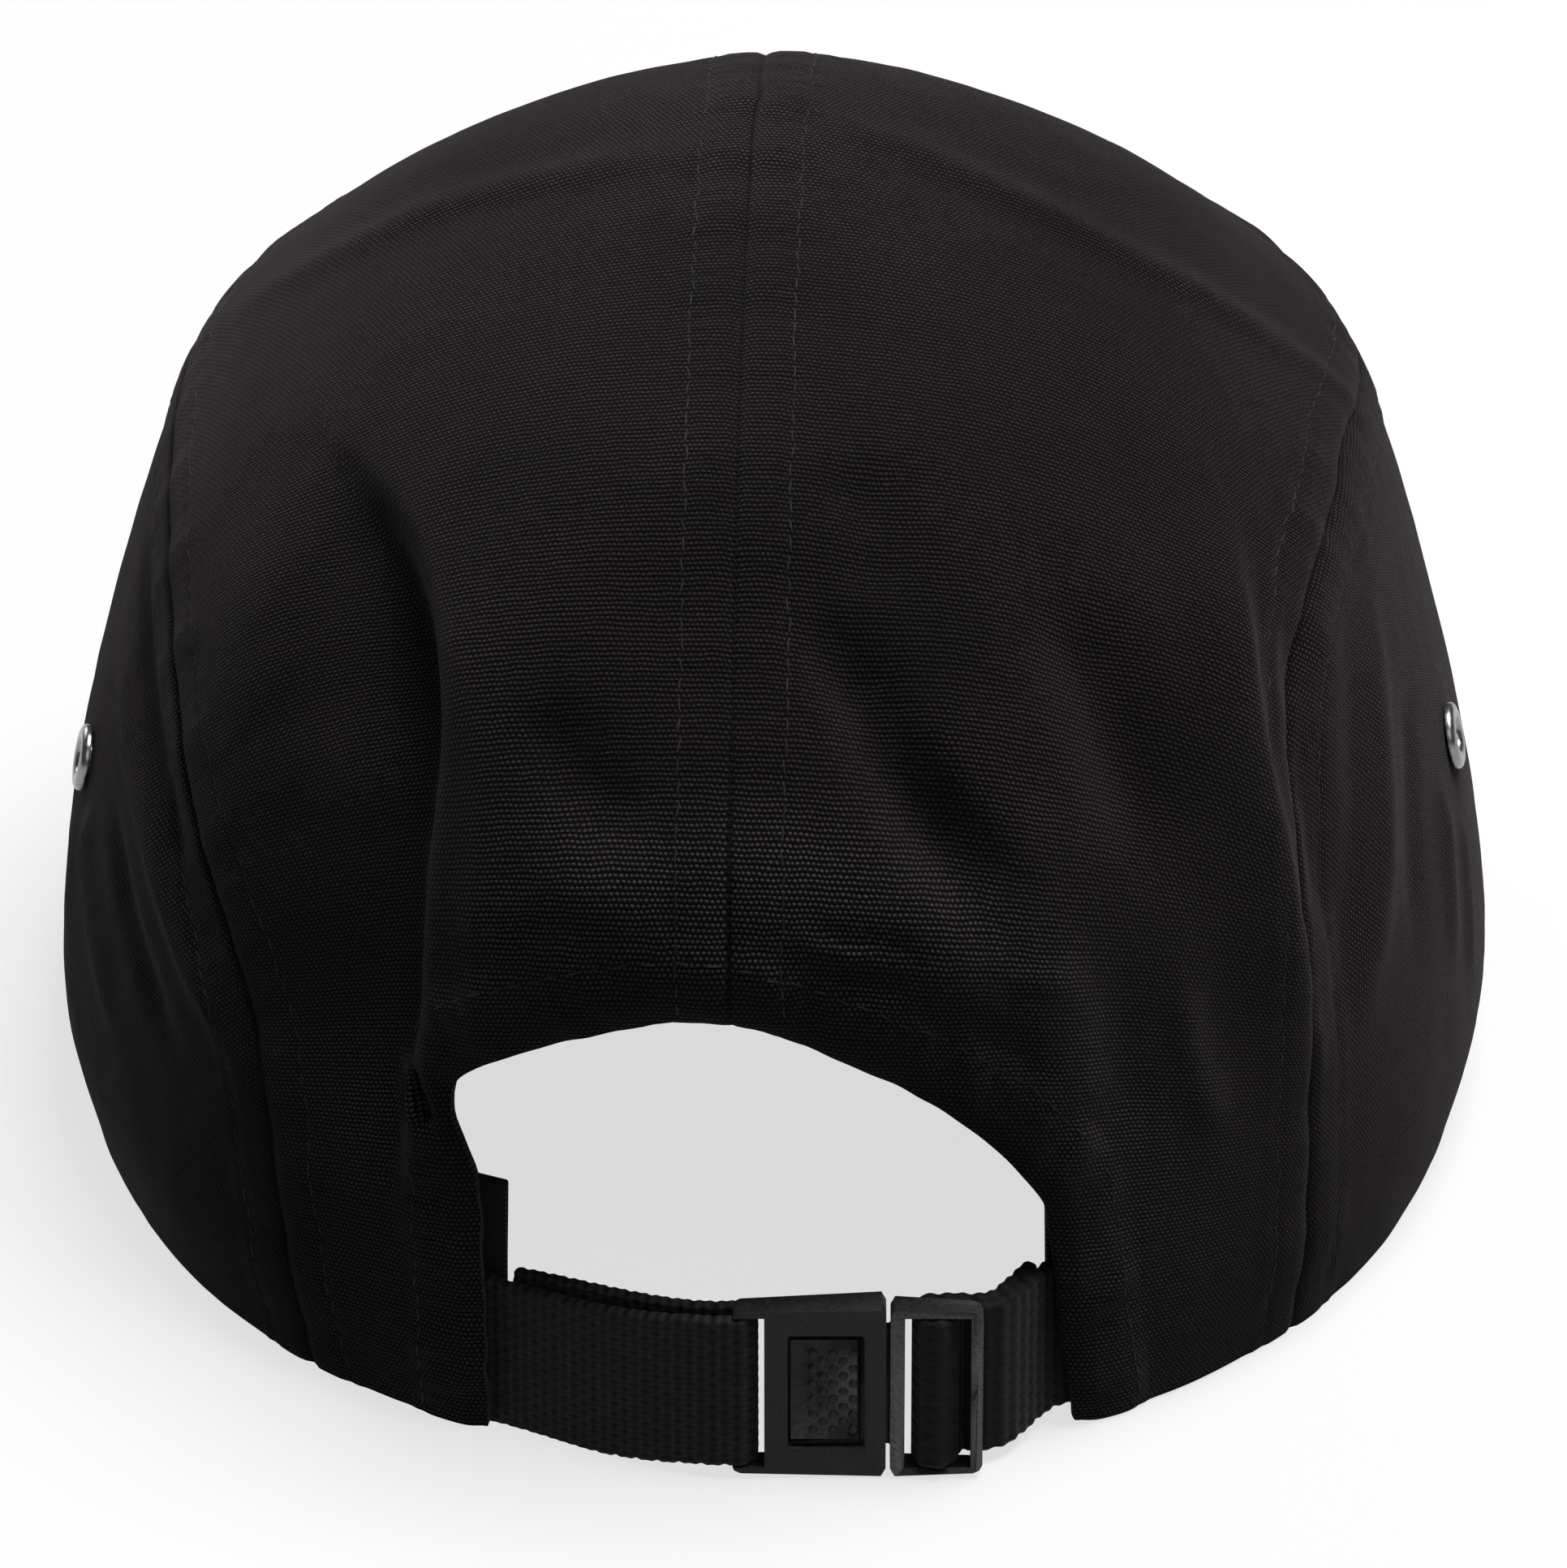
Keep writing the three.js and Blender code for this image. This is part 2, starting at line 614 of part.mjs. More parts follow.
// The second layer of a doubled run: inside the first by a step that grows from its tab's end to
// the buckle, and shorter by a gap at the tab. side is 1 where the run goes to the wearer's right.
function secondLayer(points, side, nearTab, atBuckle, short) {
  return points.map((point, i) => {
    const before = points[Math.max(i - 1, 0)];
    const after = points[Math.min(i + 1, points.length - 1)];
    const along = after.clone().sub(before).normalize();
    const step = nearTab + ((atBuckle - nearTab) * i) / (points.length - 1);
    return new THREE.Vector2(-along.y, along.x).multiplyScalar(side * step).add(point);
  }).filter((_, i) => points[i].distanceTo(points[0]) > short).reverse();
}

function withoutDoubles(points) {
  return points.filter((point, i) => i === 0 || point.distanceTo(points[i - 1]) > 0.05);
}

const hiddenDepth = clothWall + fitGap + webbingHalf;
const socketBar = new THREE.Vector2(-halfJoint - socketLong + socketBarInset, socketBarDepth);
const plugBar = new THREE.Vector2(halfJoint + plugBarPlace, plugBarRadius + 1);

// The stretch behind a tab and the run from the tab to the buckle.
function tabRun(turn, side, to) {
  const hiddenTurn = webbingHidden / backReach / degree;
  const hidden = rimFrame(turn - side * hiddenTurn, hiddenDepth);
  const edge = rimFrame(turn, hiddenDepth);
  const out = edge.along.clone().multiplyScalar(side);
  const leaving = to.clone().sub(edge.place).normalize().multiplyScalar(2).add(out).normalize();
  return {
    tab: edge.place.x,
    behind: runPoints(hidden.place, hidden.along.clone().multiplyScalar(side), edge.place, leaving),
    free: runPoints(edge.place, leaving, to, new THREE.Vector2(side, 0)),
  };
}

function webbingLeft() {
  const wrap = socketBarRadius + fitGap + webbingHalf;
  const over = new THREE.Vector2(socketBar.x, socketBar.y - wrap);
  const { tab, behind, free } = tabRun(tabLeft, 1, over);
  const around = arcPoints(socketBar, wrap, -Math.PI / 2, Math.PI / 2);
  const second = secondLayer(free, 1, layerBack, 2 * wrap, bandPastTab + bandTuck + fitGap);
  const centre = withoutDoubles([...behind, ...free, ...around, ...second]);
  return ribbonGeometry(centre, tab, -halfJoint - socketLong);
}

function webbingRight() {
  const wrap = plugBarRadius + fitGap + webbingHalf;
  const turn = new THREE.Vector2(plugBar.x + 2 * wrap, plugBar.y);
  const tail = webbingThick + fitGap;
  const below = new THREE.Vector2(plugBar.x, plugBar.y + tail);
  const level = plugBar.y + wrap;
  const plugEnd = halfJoint + plugLong;
  const { tab, behind, free } = tabRun(tabRight, -1, new THREE.Vector2(plugEnd, level));
  const around = [
    ...arcPoints(turn, wrap, Math.PI / 2, Math.PI),
    ...arcPoints(plugBar, wrap, 0, -Math.PI),
    ...arcPoints(below, wrap, Math.PI, Math.PI / 2),
  ];
  const second = secondLayer(free, -1, layerBack, tail, webbingThick);
  const centre = withoutDoubles([...behind, ...free, ...around, ...second]);
  return ribbonGeometry(centre, tab, plugEnd);
}

// Buckle

const slotTall = webbingWide + 2 * slotClear;

function block(fromX, toX, fromY, toY, tall) {
  const geometry = new THREE.BoxGeometry(toX - fromX, toY - fromY, tall);
  geometry.translate((fromX + toX) / 2, (fromY + toY) / 2, webbingMiddle);
  return solidOf(geometry);
}

function planSolid(corners) {
  const shape = new THREE.Shape(corners.map(([x, y]) => new THREE.Vector2(x, y)));
  const geometry = new THREE.ExtrudeGeometry(shape, { depth: buckleTall, bevelEnabled: false, steps: 1 });
  return solidOf(geometry.translate(0, 0, webbingMiddle - buckleTall / 2));
}

// Side view of one half of the buckle, from its joint to its far end.
function sideSolid(joint, end) {
  const away = Math.sign(end - joint);
  const [tall, low] = [buckleTall / 2, buckleEndTall / 2];
  const half = [
    [joint, tall - notch], [joint + (away * notch) / 2, tall],
    [end - away * notch, low], [end - (away * notch) / 3, low - notch / 3], [end, low - notch],
  ];
  const corners = [...half, ...half.map(([x, z]) => [x, -z]).reverse()];
  const shape = new THREE.Shape(corners.map(([x, z]) => new THREE.Vector2(x, z)));
  const depth = 2 * socketDeep;
  const geometry = new THREE.ExtrudeGeometry(shape, { depth, bevelEnabled: false, steps: 1 });
  geometry.rotateX(Math.PI / 2);
  return solidOf(geometry.translate(0, depth * 0.75, webbingMiddle));
}

function barSolid(centre, radius) {
  const tall = (slotTall + buckleEndTall) / 2;
  const geometry = new THREE.CylinderGeometry(radius, radius, tall, roundSteps);
  geometry.rotateX(Math.PI / 2);
  return solidOf(geometry.translate(centre.x, centre.y, webbingMiddle));
}

const tongueTop = frontSkin + fitGap;

function socketGeometry() {
  const [joint, end] = [-halfJoint, -halfJoint - socketLong];
  const body = planSolid([[end, 0], [joint, 0], [joint, socketDeep], [end, socketEndDeep]]);
  const windowEnd = joint - windowInset - windowLong;
  const solid = body.intersect(sideSolid(joint, end))
    .subtract(block(end - 1, end + socketSlot, -1, socketDeep + 1, slotTall))
    .subtract(block(windowEnd, joint - windowInset, -1, frontSkin + fitGap, windowTall))
    .subtract(block(
      joint - tongueLong - fitGap, joint + 1,
      frontSkin, tongueTop + tongueThick + fitGap, tongueTall + 2 * fitGap,
    ))
    .add(barSolid(socketBar, socketBarRadius));
  return geometryOf(solid);
}

function plugGeometry() {
  const [joint, end] = [halfJoint, halfJoint + plugLong];
  const body = planSolid([[joint, 0], [end, 0], [end, plugEndDeep], [joint, plugDeep]]);
  const windowFrom = -halfJoint - windowInset;
  const button = block(
    windowFrom - windowLong + fitGap, windowFrom - fitGap,
    tongueTop - buttonRise, tongueTop + tongueThick / 2, windowTall - 2 * fitGap,
  );
  const solid = body.intersect(sideSolid(joint, end))
    .subtract(block(joint + plugPost, end - plugEndBar, -1, plugDeep + 1, slotTall))
    .add(barSolid(plugBar, plugBarRadius))
    .add(block(-halfJoint - tongueLong, joint + plugPost / 2, tongueTop, tongueTop + tongueThick, tongueTall))
    .add(button);
  return geometryOf(solid);
}

// Materials

function finish(color, roughness, metalness = 0) {
  return new THREE.MeshStandardMaterial({ color, roughness, metalness });
}

const canvas = finish(0x1c191a, 0.95);
const lining = finish(0x151414, 0.9);
const nylon = finish(0x181818, 0.85);
const plastic = finish(0x242424, 0.5);
const metal = finish(0x8d8f93, 0.35, 1);

// Assembly

const cap = new THREE.Group();

function addMesh(parent, name, geometry, material) {
  const mesh = new THREE.Mesh(geometry, material);
  mesh.name = name;
  parent.add(mesh);
  return mesh;
}

const arch = archCutter();
const leftFront = topSeam.slice(backColumns).reverse();
const rightFront = topSeam.slice(0, backColumns + 1);
const backLeft = backPanel(leftSeam, seamLeft, leftFront);
const backRight = backPanel(rightSeam, seamRight, rightFront);
addMesh(cap, 'back_panel_left', geometryOf(backLeft.subtract(arch)), canvas);
addMesh(cap, 'back_panel_right', geometryOf(backRight.subtract(arch)), canvas);

const sides = {
  left: sidePanel(leftSeam, seamLeft, frontSeamLeft),
  right: sidePanel(rightSeam, seamRight, frontSeamRight),
};
for (const [side, panel] of Object.entries(sides)) {
  const place = eyeletPlaces[side];
  addMesh(cap, `side_panel_${side}`, geometryOf(panel.subtract(eyeletCutter(place))), canvas);
  const eyelet = addMesh(cap, `eyelet_${side}`, eyeletGeometry(), metal);
  const { position, quaternion } = eyeletFrame(place);
  eyelet.position.copy(position);
  eyelet.quaternion.copy(quaternion);
}

addMesh(cap, 'front_panel', frontPanel(), canvas);
addMesh(cap, 'peak', peakGeometry(), canvas);
addMesh(cap, 'sweatband', sweatbandGeometry(), lining);
addMesh(strap, 'webbing_left', webbingLeft(), nylon);
addMesh(strap, 'webbing_right', webbingRight(), nylon);
addMesh(strap, 'buckle_socket', socketGeometry(), plastic);
addMesh(strap, 'buckle_plug', plugGeometry(), plastic);
cap.add(strap);

// The origin is the middle of the cap's box, on the surface that the rim rests on.
cap.updateMatrixWorld(true);
const bounds = new THREE.Box3().setFromObject(cap, true);
const middle = bounds.getCenter(new THREE.Vector3());
cap.position.set(-middle.x, -middle.y, -bounds.min.z);

export default cap;
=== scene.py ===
import math

import bpy
import numpy as np
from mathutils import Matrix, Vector
from mathutils.bvhtree import BVHTree


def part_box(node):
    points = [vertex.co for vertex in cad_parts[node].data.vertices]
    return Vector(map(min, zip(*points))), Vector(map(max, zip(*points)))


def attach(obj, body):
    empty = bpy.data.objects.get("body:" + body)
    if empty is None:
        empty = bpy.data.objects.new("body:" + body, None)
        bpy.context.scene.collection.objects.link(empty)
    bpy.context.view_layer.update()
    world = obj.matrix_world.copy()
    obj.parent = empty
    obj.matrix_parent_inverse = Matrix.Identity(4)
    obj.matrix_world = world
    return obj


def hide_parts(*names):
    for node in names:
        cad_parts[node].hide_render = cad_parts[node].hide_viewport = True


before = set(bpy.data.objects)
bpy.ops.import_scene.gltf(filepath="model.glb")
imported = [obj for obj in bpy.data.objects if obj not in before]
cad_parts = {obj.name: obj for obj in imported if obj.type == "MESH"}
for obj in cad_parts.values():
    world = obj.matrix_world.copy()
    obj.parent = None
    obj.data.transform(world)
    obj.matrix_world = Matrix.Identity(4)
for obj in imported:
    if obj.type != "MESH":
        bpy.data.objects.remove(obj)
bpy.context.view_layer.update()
degree = math.pi / 180
mm = 0.001
print("frame loaded")

# The crown, as it is cut and blocked. Lengths in metres.
crown = {
    "rimWidth": 0.172, "rimLength": 0.198, "height": 0.127, "crestForward": 0.007,
    "squareness": 2.16, "wall": 0.0016, "peakLength": 0.066,
    "frontLift": 0.007, "peakHalfTurn": 62, "peakTip": 0.0016, "camberPower": 1.5,
}
# Shares for each section, from the rim to just under the crest.
sections = {
    "height": [0, 0.11, 0.252, 0.394, 0.551, 0.693, 0.795, 0.874, 0.929, 0.976],
    "width": [1, 1.035, 1.013, 0.97, 0.907, 0.83, 0.691, 0.54, 0.379, 0.177],
    "back": [1, 1.004, 1.002, 0.989, 0.968, 0.888, 0.775, 0.632, 0.453, 0.226],
    "front": [1, 1, 0.983, 0.945, 0.867, 0.723, 0.55, 0.407, 0.31, 0.183],
}
# Seams as (turn about the crest in degrees, rise from 0 at the rim to 1 at the crest).
seams = {
    "sideLeft": [(57, 0), (51.5, 0.235), (37.5, 0.37), (20, 0.452), (0, 0.482), (-24, 0.492), (-46, 0.5)],
    "sideRight": [
        (129, 0), (130, 0.22), (132.5, 0.385), (140, 0.478), (160, 0.512), (190, 0.487), (226, 0.5),
    ],
    "centre": [(87.5, 0), (85.5, 0.81), (270, 0.55)],
    "frontLeft": [(-50, 0), (-49, 0.25), (-46, 0.5)],
    "frontRight": [(230, 0), (229, 0.25), (226, 0.5)],
    "frontTop": [(226, 0.5), (270, 0.55), (-46, 0.5)],
}
# Outline of the back opening: shares of half its width and of its height.
opening = {
    "width": 0.072, "height": 0.060,
    "outline": [
        (0.945, -0.08), (0.953, 0.3), (0.972, 0.575), (1.05, 0.71), (1.02, 0.785), (0.84, 0.868),
        (0.5, 0.966), (0.25, 1), (0, 0.962), (-0.375, 0.845), (-0.65, 0.715), (-0.845, 0.572),
        (-0.905, 0.47), (-0.95, 0.215), (-1.015, -0.08),
    ],
    "leftCorner": 4.2, "rightCorner": 10.8,
}
outlineLast = len(opening["outline"]) - 1
peakLow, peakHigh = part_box("peak")
origin = np.array([
    (peakLow.x + peakHigh.x) / 2,
    crown["rimLength"] / 2 + crown["peakLength"] + peakLow.y,
    0,
])


def unit(vectors):
    return vectors / np.linalg.norm(vectors, axis=-1, keepdims=True)


def runAlong(points):  # how far along a line each of its points lies
    return np.concatenate([[0], np.cumsum(np.linalg.norm(np.diff(points, axis=0), axis=1))])


def riseOf(flat):
    return 1 - np.hypot(flat[..., 0], flat[..., 1])


def sectionValue(name, rise):  # a smooth curve through the row of a section
    row = sections[name]
    beyond = [1, row[-1]] if name == "height" else [0, -row[-1]]
    knots = np.array([2 * row[0] - row[1], *row, *beyond])
    place = np.clip(rise, 0, 1) * len(row)
    i = np.minimum(place.astype(int), len(row) - 1)
    f = place - i
    a, b, c, d = (knots[i + k] for k in range(4))
    return b + 0.5 * f * (c - a + f * (2 * a - 5 * b + 4 * c - d + f * (3 * (b - c) + d - a)))


def crownPoint(flat):
    # The crown is laid flat on a disc, with the crest at its centre and the rim at its edge.
    fromCrest = np.maximum(np.hypot(flat[:, 0], flat[:, 1]), 1e-6)
    rise = 1 - fromCrest
    cosine, sine = flat[:, 0] / fromCrest, flat[:, 1] / fromCrest
    across = crown["rimWidth"] / 2 * sectionValue("width", rise)
    back = (crown["rimLength"] / 2 + crown["crestForward"]) * sectionValue("back", rise)
    front = (crown["rimLength"] / 2 - crown["crestForward"]) * sectionValue("front", rise)
    along = np.where(sine > 0, back, front)
    power = crown["squareness"]
    radius = ((abs(cosine) / across) ** power + (abs(sine) / along) ** power) ** (-1 / power)
    up = crown["height"] * sectionValue("height", rise)
    return np.stack([radius * cosine, radius * sine - crown["crestForward"], up], 1) + origin


def crownNormal(flat):
    step = 0.002
    fromCrest = np.maximum(np.hypot(flat[:, 0], flat[:, 1]), 1e-6)
    inside = flat * np.minimum(1, (1 - step) / fromCrest)[:, None]
    alongU = crownPoint(inside + [step, 0]) - crownPoint(inside - [step, 0])
    alongV = crownPoint(inside + [0, step]) - crownPoint(inside - [0, step])
    return unit(np.cross(alongU, alongV))


def onDisc(turn, rise):
    turn, rise = np.broadcast_arrays(np.asarray(turn, float), np.asarray(rise, float))
    return np.stack([np.cos(turn * degree), np.sin(turn * degree)], -1) * (1 - rise)[..., None]


def smoothStep(low, high, x):
    f = np.clip((x - low) / (high - low), 0, 1)
    return f * f * (3 - 2 * f)


def spline(points, t):  # a smooth curve through the points, from 0 to 1
    points = np.asarray(points, float)
    last = len(points) - 1
    place = np.clip(t, 0, 1) * last
    i = np.minimum(place.astype(int), last - 1)
    f = (place - i)[:, None]
    a, b, c, d = (points[np.clip(i + k, 0, last)] for k in (-1, 0, 1, 2))
    v, w = (c - a) / 2, (d - b) / 2
    return (2 * b - 2 * c + v + w) * f**3 + (3 * c - 3 * b - 2 * v - w) * f**2 + v * f + b


def bisect(value, target, low, high):  # where a growing value reaches its target
    low, high = np.broadcast_to(low, target.shape).copy(), np.broadcast_to(high, target.shape).copy()
    for _ in range(36):
        middle = (low + high) / 2
        under = value(middle) < target
        low, high = np.where(under, middle, low), np.where(under, high, middle)
    return (low + high) / 2


def riseAtHeight(height):
    target = np.atleast_1d(np.asarray(height, float))
    return bisect(lambda rise: crown["height"] * sectionValue("height", rise), target, 0, 1)


def turnAt(x, rise):  # on the back half, x from the middle of the crown
    return bisect(lambda turn: origin[0] - crownPoint(onDisc(turn, rise))[:, 0], -x, 0, 180)


cornerFlat = onDisc(270 + crown["peakHalfTurn"], 0)[None]
peakCorner = (crownPoint(cornerFlat) - origin)[0]
peakHalfWidth = peakCorner[0] + crown["peakTip"]


def camber(x):  # how far the peak bows up, across the cap
    return crown["frontLift"] * np.maximum(0, 1 - (x / peakHalfWidth) ** 2) ** crown["camberPower"]


def rimLift(turn):
    fromFront = abs((turn + 90 + 540) % 360 - 180)
    x = crownPoint(onDisc(turn, 0))[:, 0] - origin[0]
    return np.where(fromFront > crown["peakHalfTurn"], 0, camber(x))


def rimEdge(start, end):
    def edge(t):
        turn = start + (end - start) * t
        return onDisc(turn, riseAtHeight(rimLift(turn)))
    return edge


def seamEdge(name, start=0, end=1):
    table = [onDisc(turn, rise) for turn, rise in seams[name]]
    if name in ("frontLeft", "frontRight"):
        table[0] = rimEdge(seams[name][0][0], seams[name][0][0])(np.zeros(1))[0]
    return lambda t: spline(table, start + (end - start) * t)


def straightEdge(start, end):
    return lambda t: start + (end - start) * t[:, None]


def openingEdge(start, end):  # in steps of the outline's table
    def edge(t):
        place = spline(opening["outline"], (start + (end - start) * t) / outlineLast)
        x = place[:, 0] * opening["width"] / 2
        rise = riseAtHeight(place[:, 1] * opening["height"])
        return onDisc(turnAt(x, rise), rise)
    return edge


def evenEdge(edge):  # the same edge, with even steps along the cloth
    t = np.linspace(0, 1, 400)
    run = runAlong(crownPoint(edge(t)))
    return lambda share: edge(np.interp(share * run[-1], run, t))


def joinEdges(first, second, share):  # one edge after another, meeting at a share of the way
    def edge(t):
        near = first(np.clip(t / share, 0, 1))
        far = second(np.clip((t - share) / (1 - share), 0, 1))
        return np.where((t < share)[:, None], near, far)
    return edge


def setBack(edge, gap):  # moved to the left of its way by a gap, or right where the gap is negative
    def moved(t):
        place = edge(t)
        along = edge(np.minimum(t + 0.001, 1)) - edge(np.maximum(t - 0.001, 0))
        across = unit(np.stack([-along[:, 1], along[:, 0]], 1))
        stretch = np.linalg.norm(crownPoint(place + 0.001 * across) - crownPoint(place), axis=1) / 0.001
        return place + across * (gap / stretch)[:, None]
    return moved


def onCloth(edge, steps=160):
    return crownPoint(edge(np.linspace(0, 1, steps)))


def lineField(points, normals, line):
    # For each point the distance to a line, the run along it and the side it lies on.
    best = np.full(len(points), 1e9)
    run, side = np.zeros(len(points)), np.ones(len(points))
    start = 0
    for a, b in zip(line[:-1], line[1:]):
        along = b - a
        length = np.linalg.norm(along)
        t = np.clip((points - a) @ along / length**2, 0, 1)
        away = points - a - t[:, None] * along
        distance = np.linalg.norm(away, axis=1)
        nearer = distance < best
        best = np.where(nearer, distance, best)
        run = np.where(nearer, start + t * length, run)
        across = np.einsum("ij,ij->i", np.cross(normals, along), away)
        side = np.where(nearer, np.where(across < 0, -1, 1), side)
        start += length
    return best, run, side, start


def groove(distance, width, depth):
    return depth * np.exp(-((distance / width) ** 2))


# Folds run through places as (turn, rise). before and after are how far the slopes reach, in mm,
# on the two sides of a fold that runs down the back, towards its left and right. height is in mm.
folds = [
    # left dent with its proud right lip
    ([(43, 0.60), (56, 0.565), (62.3, 0.49), (63.8, 0.40), (63.9, 0.30), (63.6, 0.14)], 23, 2.7, -5.0),
    ([(36, 0.585), (47, 0.585), (56, 0.56), (61, 0.50), (63, 0.43)], 13, 3.2, -3.0),
    ([(56, 0.61), (69, 0.50), (71.5, 0.36), (72, 0.22)], 4.5, 14, 1.6),
    ([(44, 0.55), (50, 0.44), (53, 0.33)], 9, 10, -1.3),
    # right side ridge with the hollow behind it
    ([(137, 0.574), (130.5, 0.50), (128.5, 0.42), (129.2, 0.30), (131, 0.20)], 8, 2.4, 2.1),
    ([(141, 0.52), (135.5, 0.44), (134, 0.36), (135, 0.26)], 3.2, 5.5, -1.6),
    # middle valleys
    ([(93, 0.62), (96.5, 0.55), (99, 0.48), (104.5, 0.385)], 4.2, 5.0, -3.6),
    ([(98.5, 0.72), (99, 0.66), (97.5, 0.60)], 4.5, 5, -1.6),
    ([(101, 0.56), (104, 0.48), (110, 0.40)], 3, 7, 0.8),
    # the cloth flares out towards the hem of the opening
    ([(72, 0.36), (80, 0.405), (90, 0.42), (100, 0.395), (110, 0.32)], 13, 13, 4.0),
    ([(114, 0.59), (116, 0.50), (118, 0.40)], 6.5, 6.5, -3.0),
    ([(74, 0.56), (90, 0.585), (108, 0.56)], 13, 13, -1.4),
    ([(71, 0.53), (75, 0.49), (79, 0.465), (83, 0.455)], 3.4, 5, -2.1),
    ([(74, 0.44), (78, 0.42), (83, 0.42)], 3, 3.5, 0.5),
    ([(108.5, 0.39), (108.5, 0.31), (110, 0.24)], 4.5, 5, 0.9),
    ([(113.5, 0.36), (113.5, 0.29), (115, 0.22)], 4, 4, -0.8),
    ([(118, 0.34), (119, 0.27), (121, 0.2)], 2.5, 3, 0.8),
    # crease round the top
    ([(352, 0.53), (2, 0.65), (8, 0.76), (19, 0.843), (36, 0.895), (76, 0.94)], 3, 3.6, 0.85),
    ([(104, 0.945), (155, 0.915), (160, 0.80), (163, 0.70), (172, 0.54), (178, 0.42)], 3, 3.6, 0.85),
    ([(60, 0.985), (120, 0.985)], 2.2, 2.2, 0.35),
    # left side
    ([(11, 0.357), (23, 0.339), (33, 0.315), (43, 0.265), (53, 0.20)], 2.6, 3.4, 1.6),
    ([(6, 0.42), (22, 0.385), (36, 0.34), (45, 0.29)], 2.4, 2.8, -1.1),
    ([(8, 0.26), (20, 0.21), (34, 0.15)], 2.6, 3.6, 1.3),
    ([(4, 0.20), (16, 0.14), (27, 0.09)], 2.6, 3, 0.9),
    ([(20, 0.29), (32, 0.245), (44, 0.185)], 2.6, 2.6, -1.2),
    # right side
    ([(156, 0.451), (148, 0.375), (143, 0.289), (134, 0.20)], 3.6, 3.2, 0.9),
    ([(150, 0.47), (142, 0.39), (138, 0.31), (132.5, 0.23)], 3, 3, -0.6),
    ([(161, 0.295), (158.5, 0.247), (155, 0.17)], 2.8, 2.8, 0.8),
    ([(166, 0.25), (163, 0.19), (160, 0.13)], 2.2, 2.2, 0.9),
    ([(157, 0.38), (151, 0.31), (147, 0.22)], 3.2, 3.2, -0.7),
    # curl at the opening's left corner and puckers along its hem
    ([(63.7, 0.286), (64.6, 0.264), (66.2, 0.236)], 1.3, 1.1, 1.1),
    ([(65.1, 0.28), (65.9, 0.263), (67.5, 0.243)], 1.2, 1.3, -2.0),
    ([(92.0, 0.415), (93.6, 0.404), (96.5, 0.399), (100.0, 0.389)], 0.8, 1.1, -0.75),
    ([(91.5, 0.405), (93.6, 0.396), (97.0, 0.391)], 0.9, 1.2, 0.55),
    ([(93.0, 0.385), (95.5, 0.378), (98.5, 0.374)], 0.9, 0.9, -0.45),
    ([(103, 0.375), (107, 0.36), (110, 0.345)], 0.9, 1.2, 0.4),
    ([(80, 0.398), (76.5, 0.385), (74, 0.372)], 1.0, 1.3, 0.4),
]
# A fold sinks to endShare of its height over the share of its length called ends.
foldShape = {"steps": 24, "reach": 4, "ends": 0.3, "endShare": 0.15}
foldFade = (0.04, 0.26)  # folds grow from nothing to full over this rise
eyelets = {"left": (9.5, 0.262), "right": (167.5, 0.292)}
eyeletFlat = 0.0065


def foldHeight(points, normals, rise):
    height, worn = np.zeros(len(points)), np.zeros(len(points))
    for places, before, after, peak in folds:
        flat = np.array([onDisc(turn, up) for turn, up in places])
        line = crownPoint(spline(flat, np.linspace(0, 1, foldShape["steps"])))
        reach = foldShape["reach"] * max(before, after) * mm
        near = np.flatnonzero((points > line.min(0) - reach).all(1) & (points < line.max(0) + reach).all(1))
        if not len(near):
            continue
        distance, run, side, length = lineField(points[near], normals[near], line)
        slope = np.where(side > 0, after, before) * mm
        fromEnd = np.array([run / length, 1 - run / length])
        ends = smoothStep(0, foldShape["ends"], fromEnd).prod(0)
        share = groove(distance, slope, foldShape["endShare"] + (1 - foldShape["endShare"]) * ends)
        height[near] += peak * mm * share
        if peak > 0:
            worn[near] = np.maximum(worn[near], share**3 * min(1, peak))
    clear = [np.linalg.norm(points - crownPoint(onDisc(*place)[None]), axis=1) for place in eyelets.values()]
    calm = smoothStep(eyeletFlat, 2 * eyeletFlat, np.min(clear, axis=0))
    return height * smoothStep(*foldFade, rise) * calm, worn


# Sewing: each seam has a row of topstitches on both sides, and the opening's hem has one.
sewing = {
    "allowance": 0.0062, "allowanceSlope": 0.0028, "allowanceRise": 0.00032, "groove": 0.0007,
    "grooveDepth": 0.0006, "pucker": 0.00009, "puckerWaves": (0.0013, 0.0047, 0.0021),
    "hem": 0.0086, "hemSlope": 0.002, "hemRise": 0.0007, "hemEdge": 0.0016, "hemEdgeDepth": 0.0009,
    "hemPucker": 0.00022, "hemWaves": (0.0011, 0.0063, 0.0024),
    "stitchGroove": 0.0008, "stitchDepth": 0.00028, "gap": 0.0002,
}


def outlineFoot(low, high):  # where the outline crosses the rim
    steps = np.linspace(low, high, 400)
    return steps[np.argmin(abs(spline(opening["outline"], steps / outlineLast)[:, 1]))]


def outlineAtSeam():  # where the centre seam meets the opening
    steps = np.linspace(5, 9, 1200)
    flat = openingEdge(0, outlineLast)(steps / outlineLast)
    (lowTurn, lowRise), (highTurn, highRise) = seams["centre"][:2]
    seamTurn = np.interp(riseOf(flat), [lowRise, highRise], [lowTurn, highTurn])
    return steps[np.argmin(abs(np.arctan2(flat[:, 1], flat[:, 0]) / degree - seamTurn))]


def seamStepAtRise(name, rise, reach=0.6, steps=2000):  # where a seam first stands as high as this
    t = np.linspace(0, reach, steps)
    return t[np.argmax(riseOf(seamEdge(name)(t)) >= rise)]


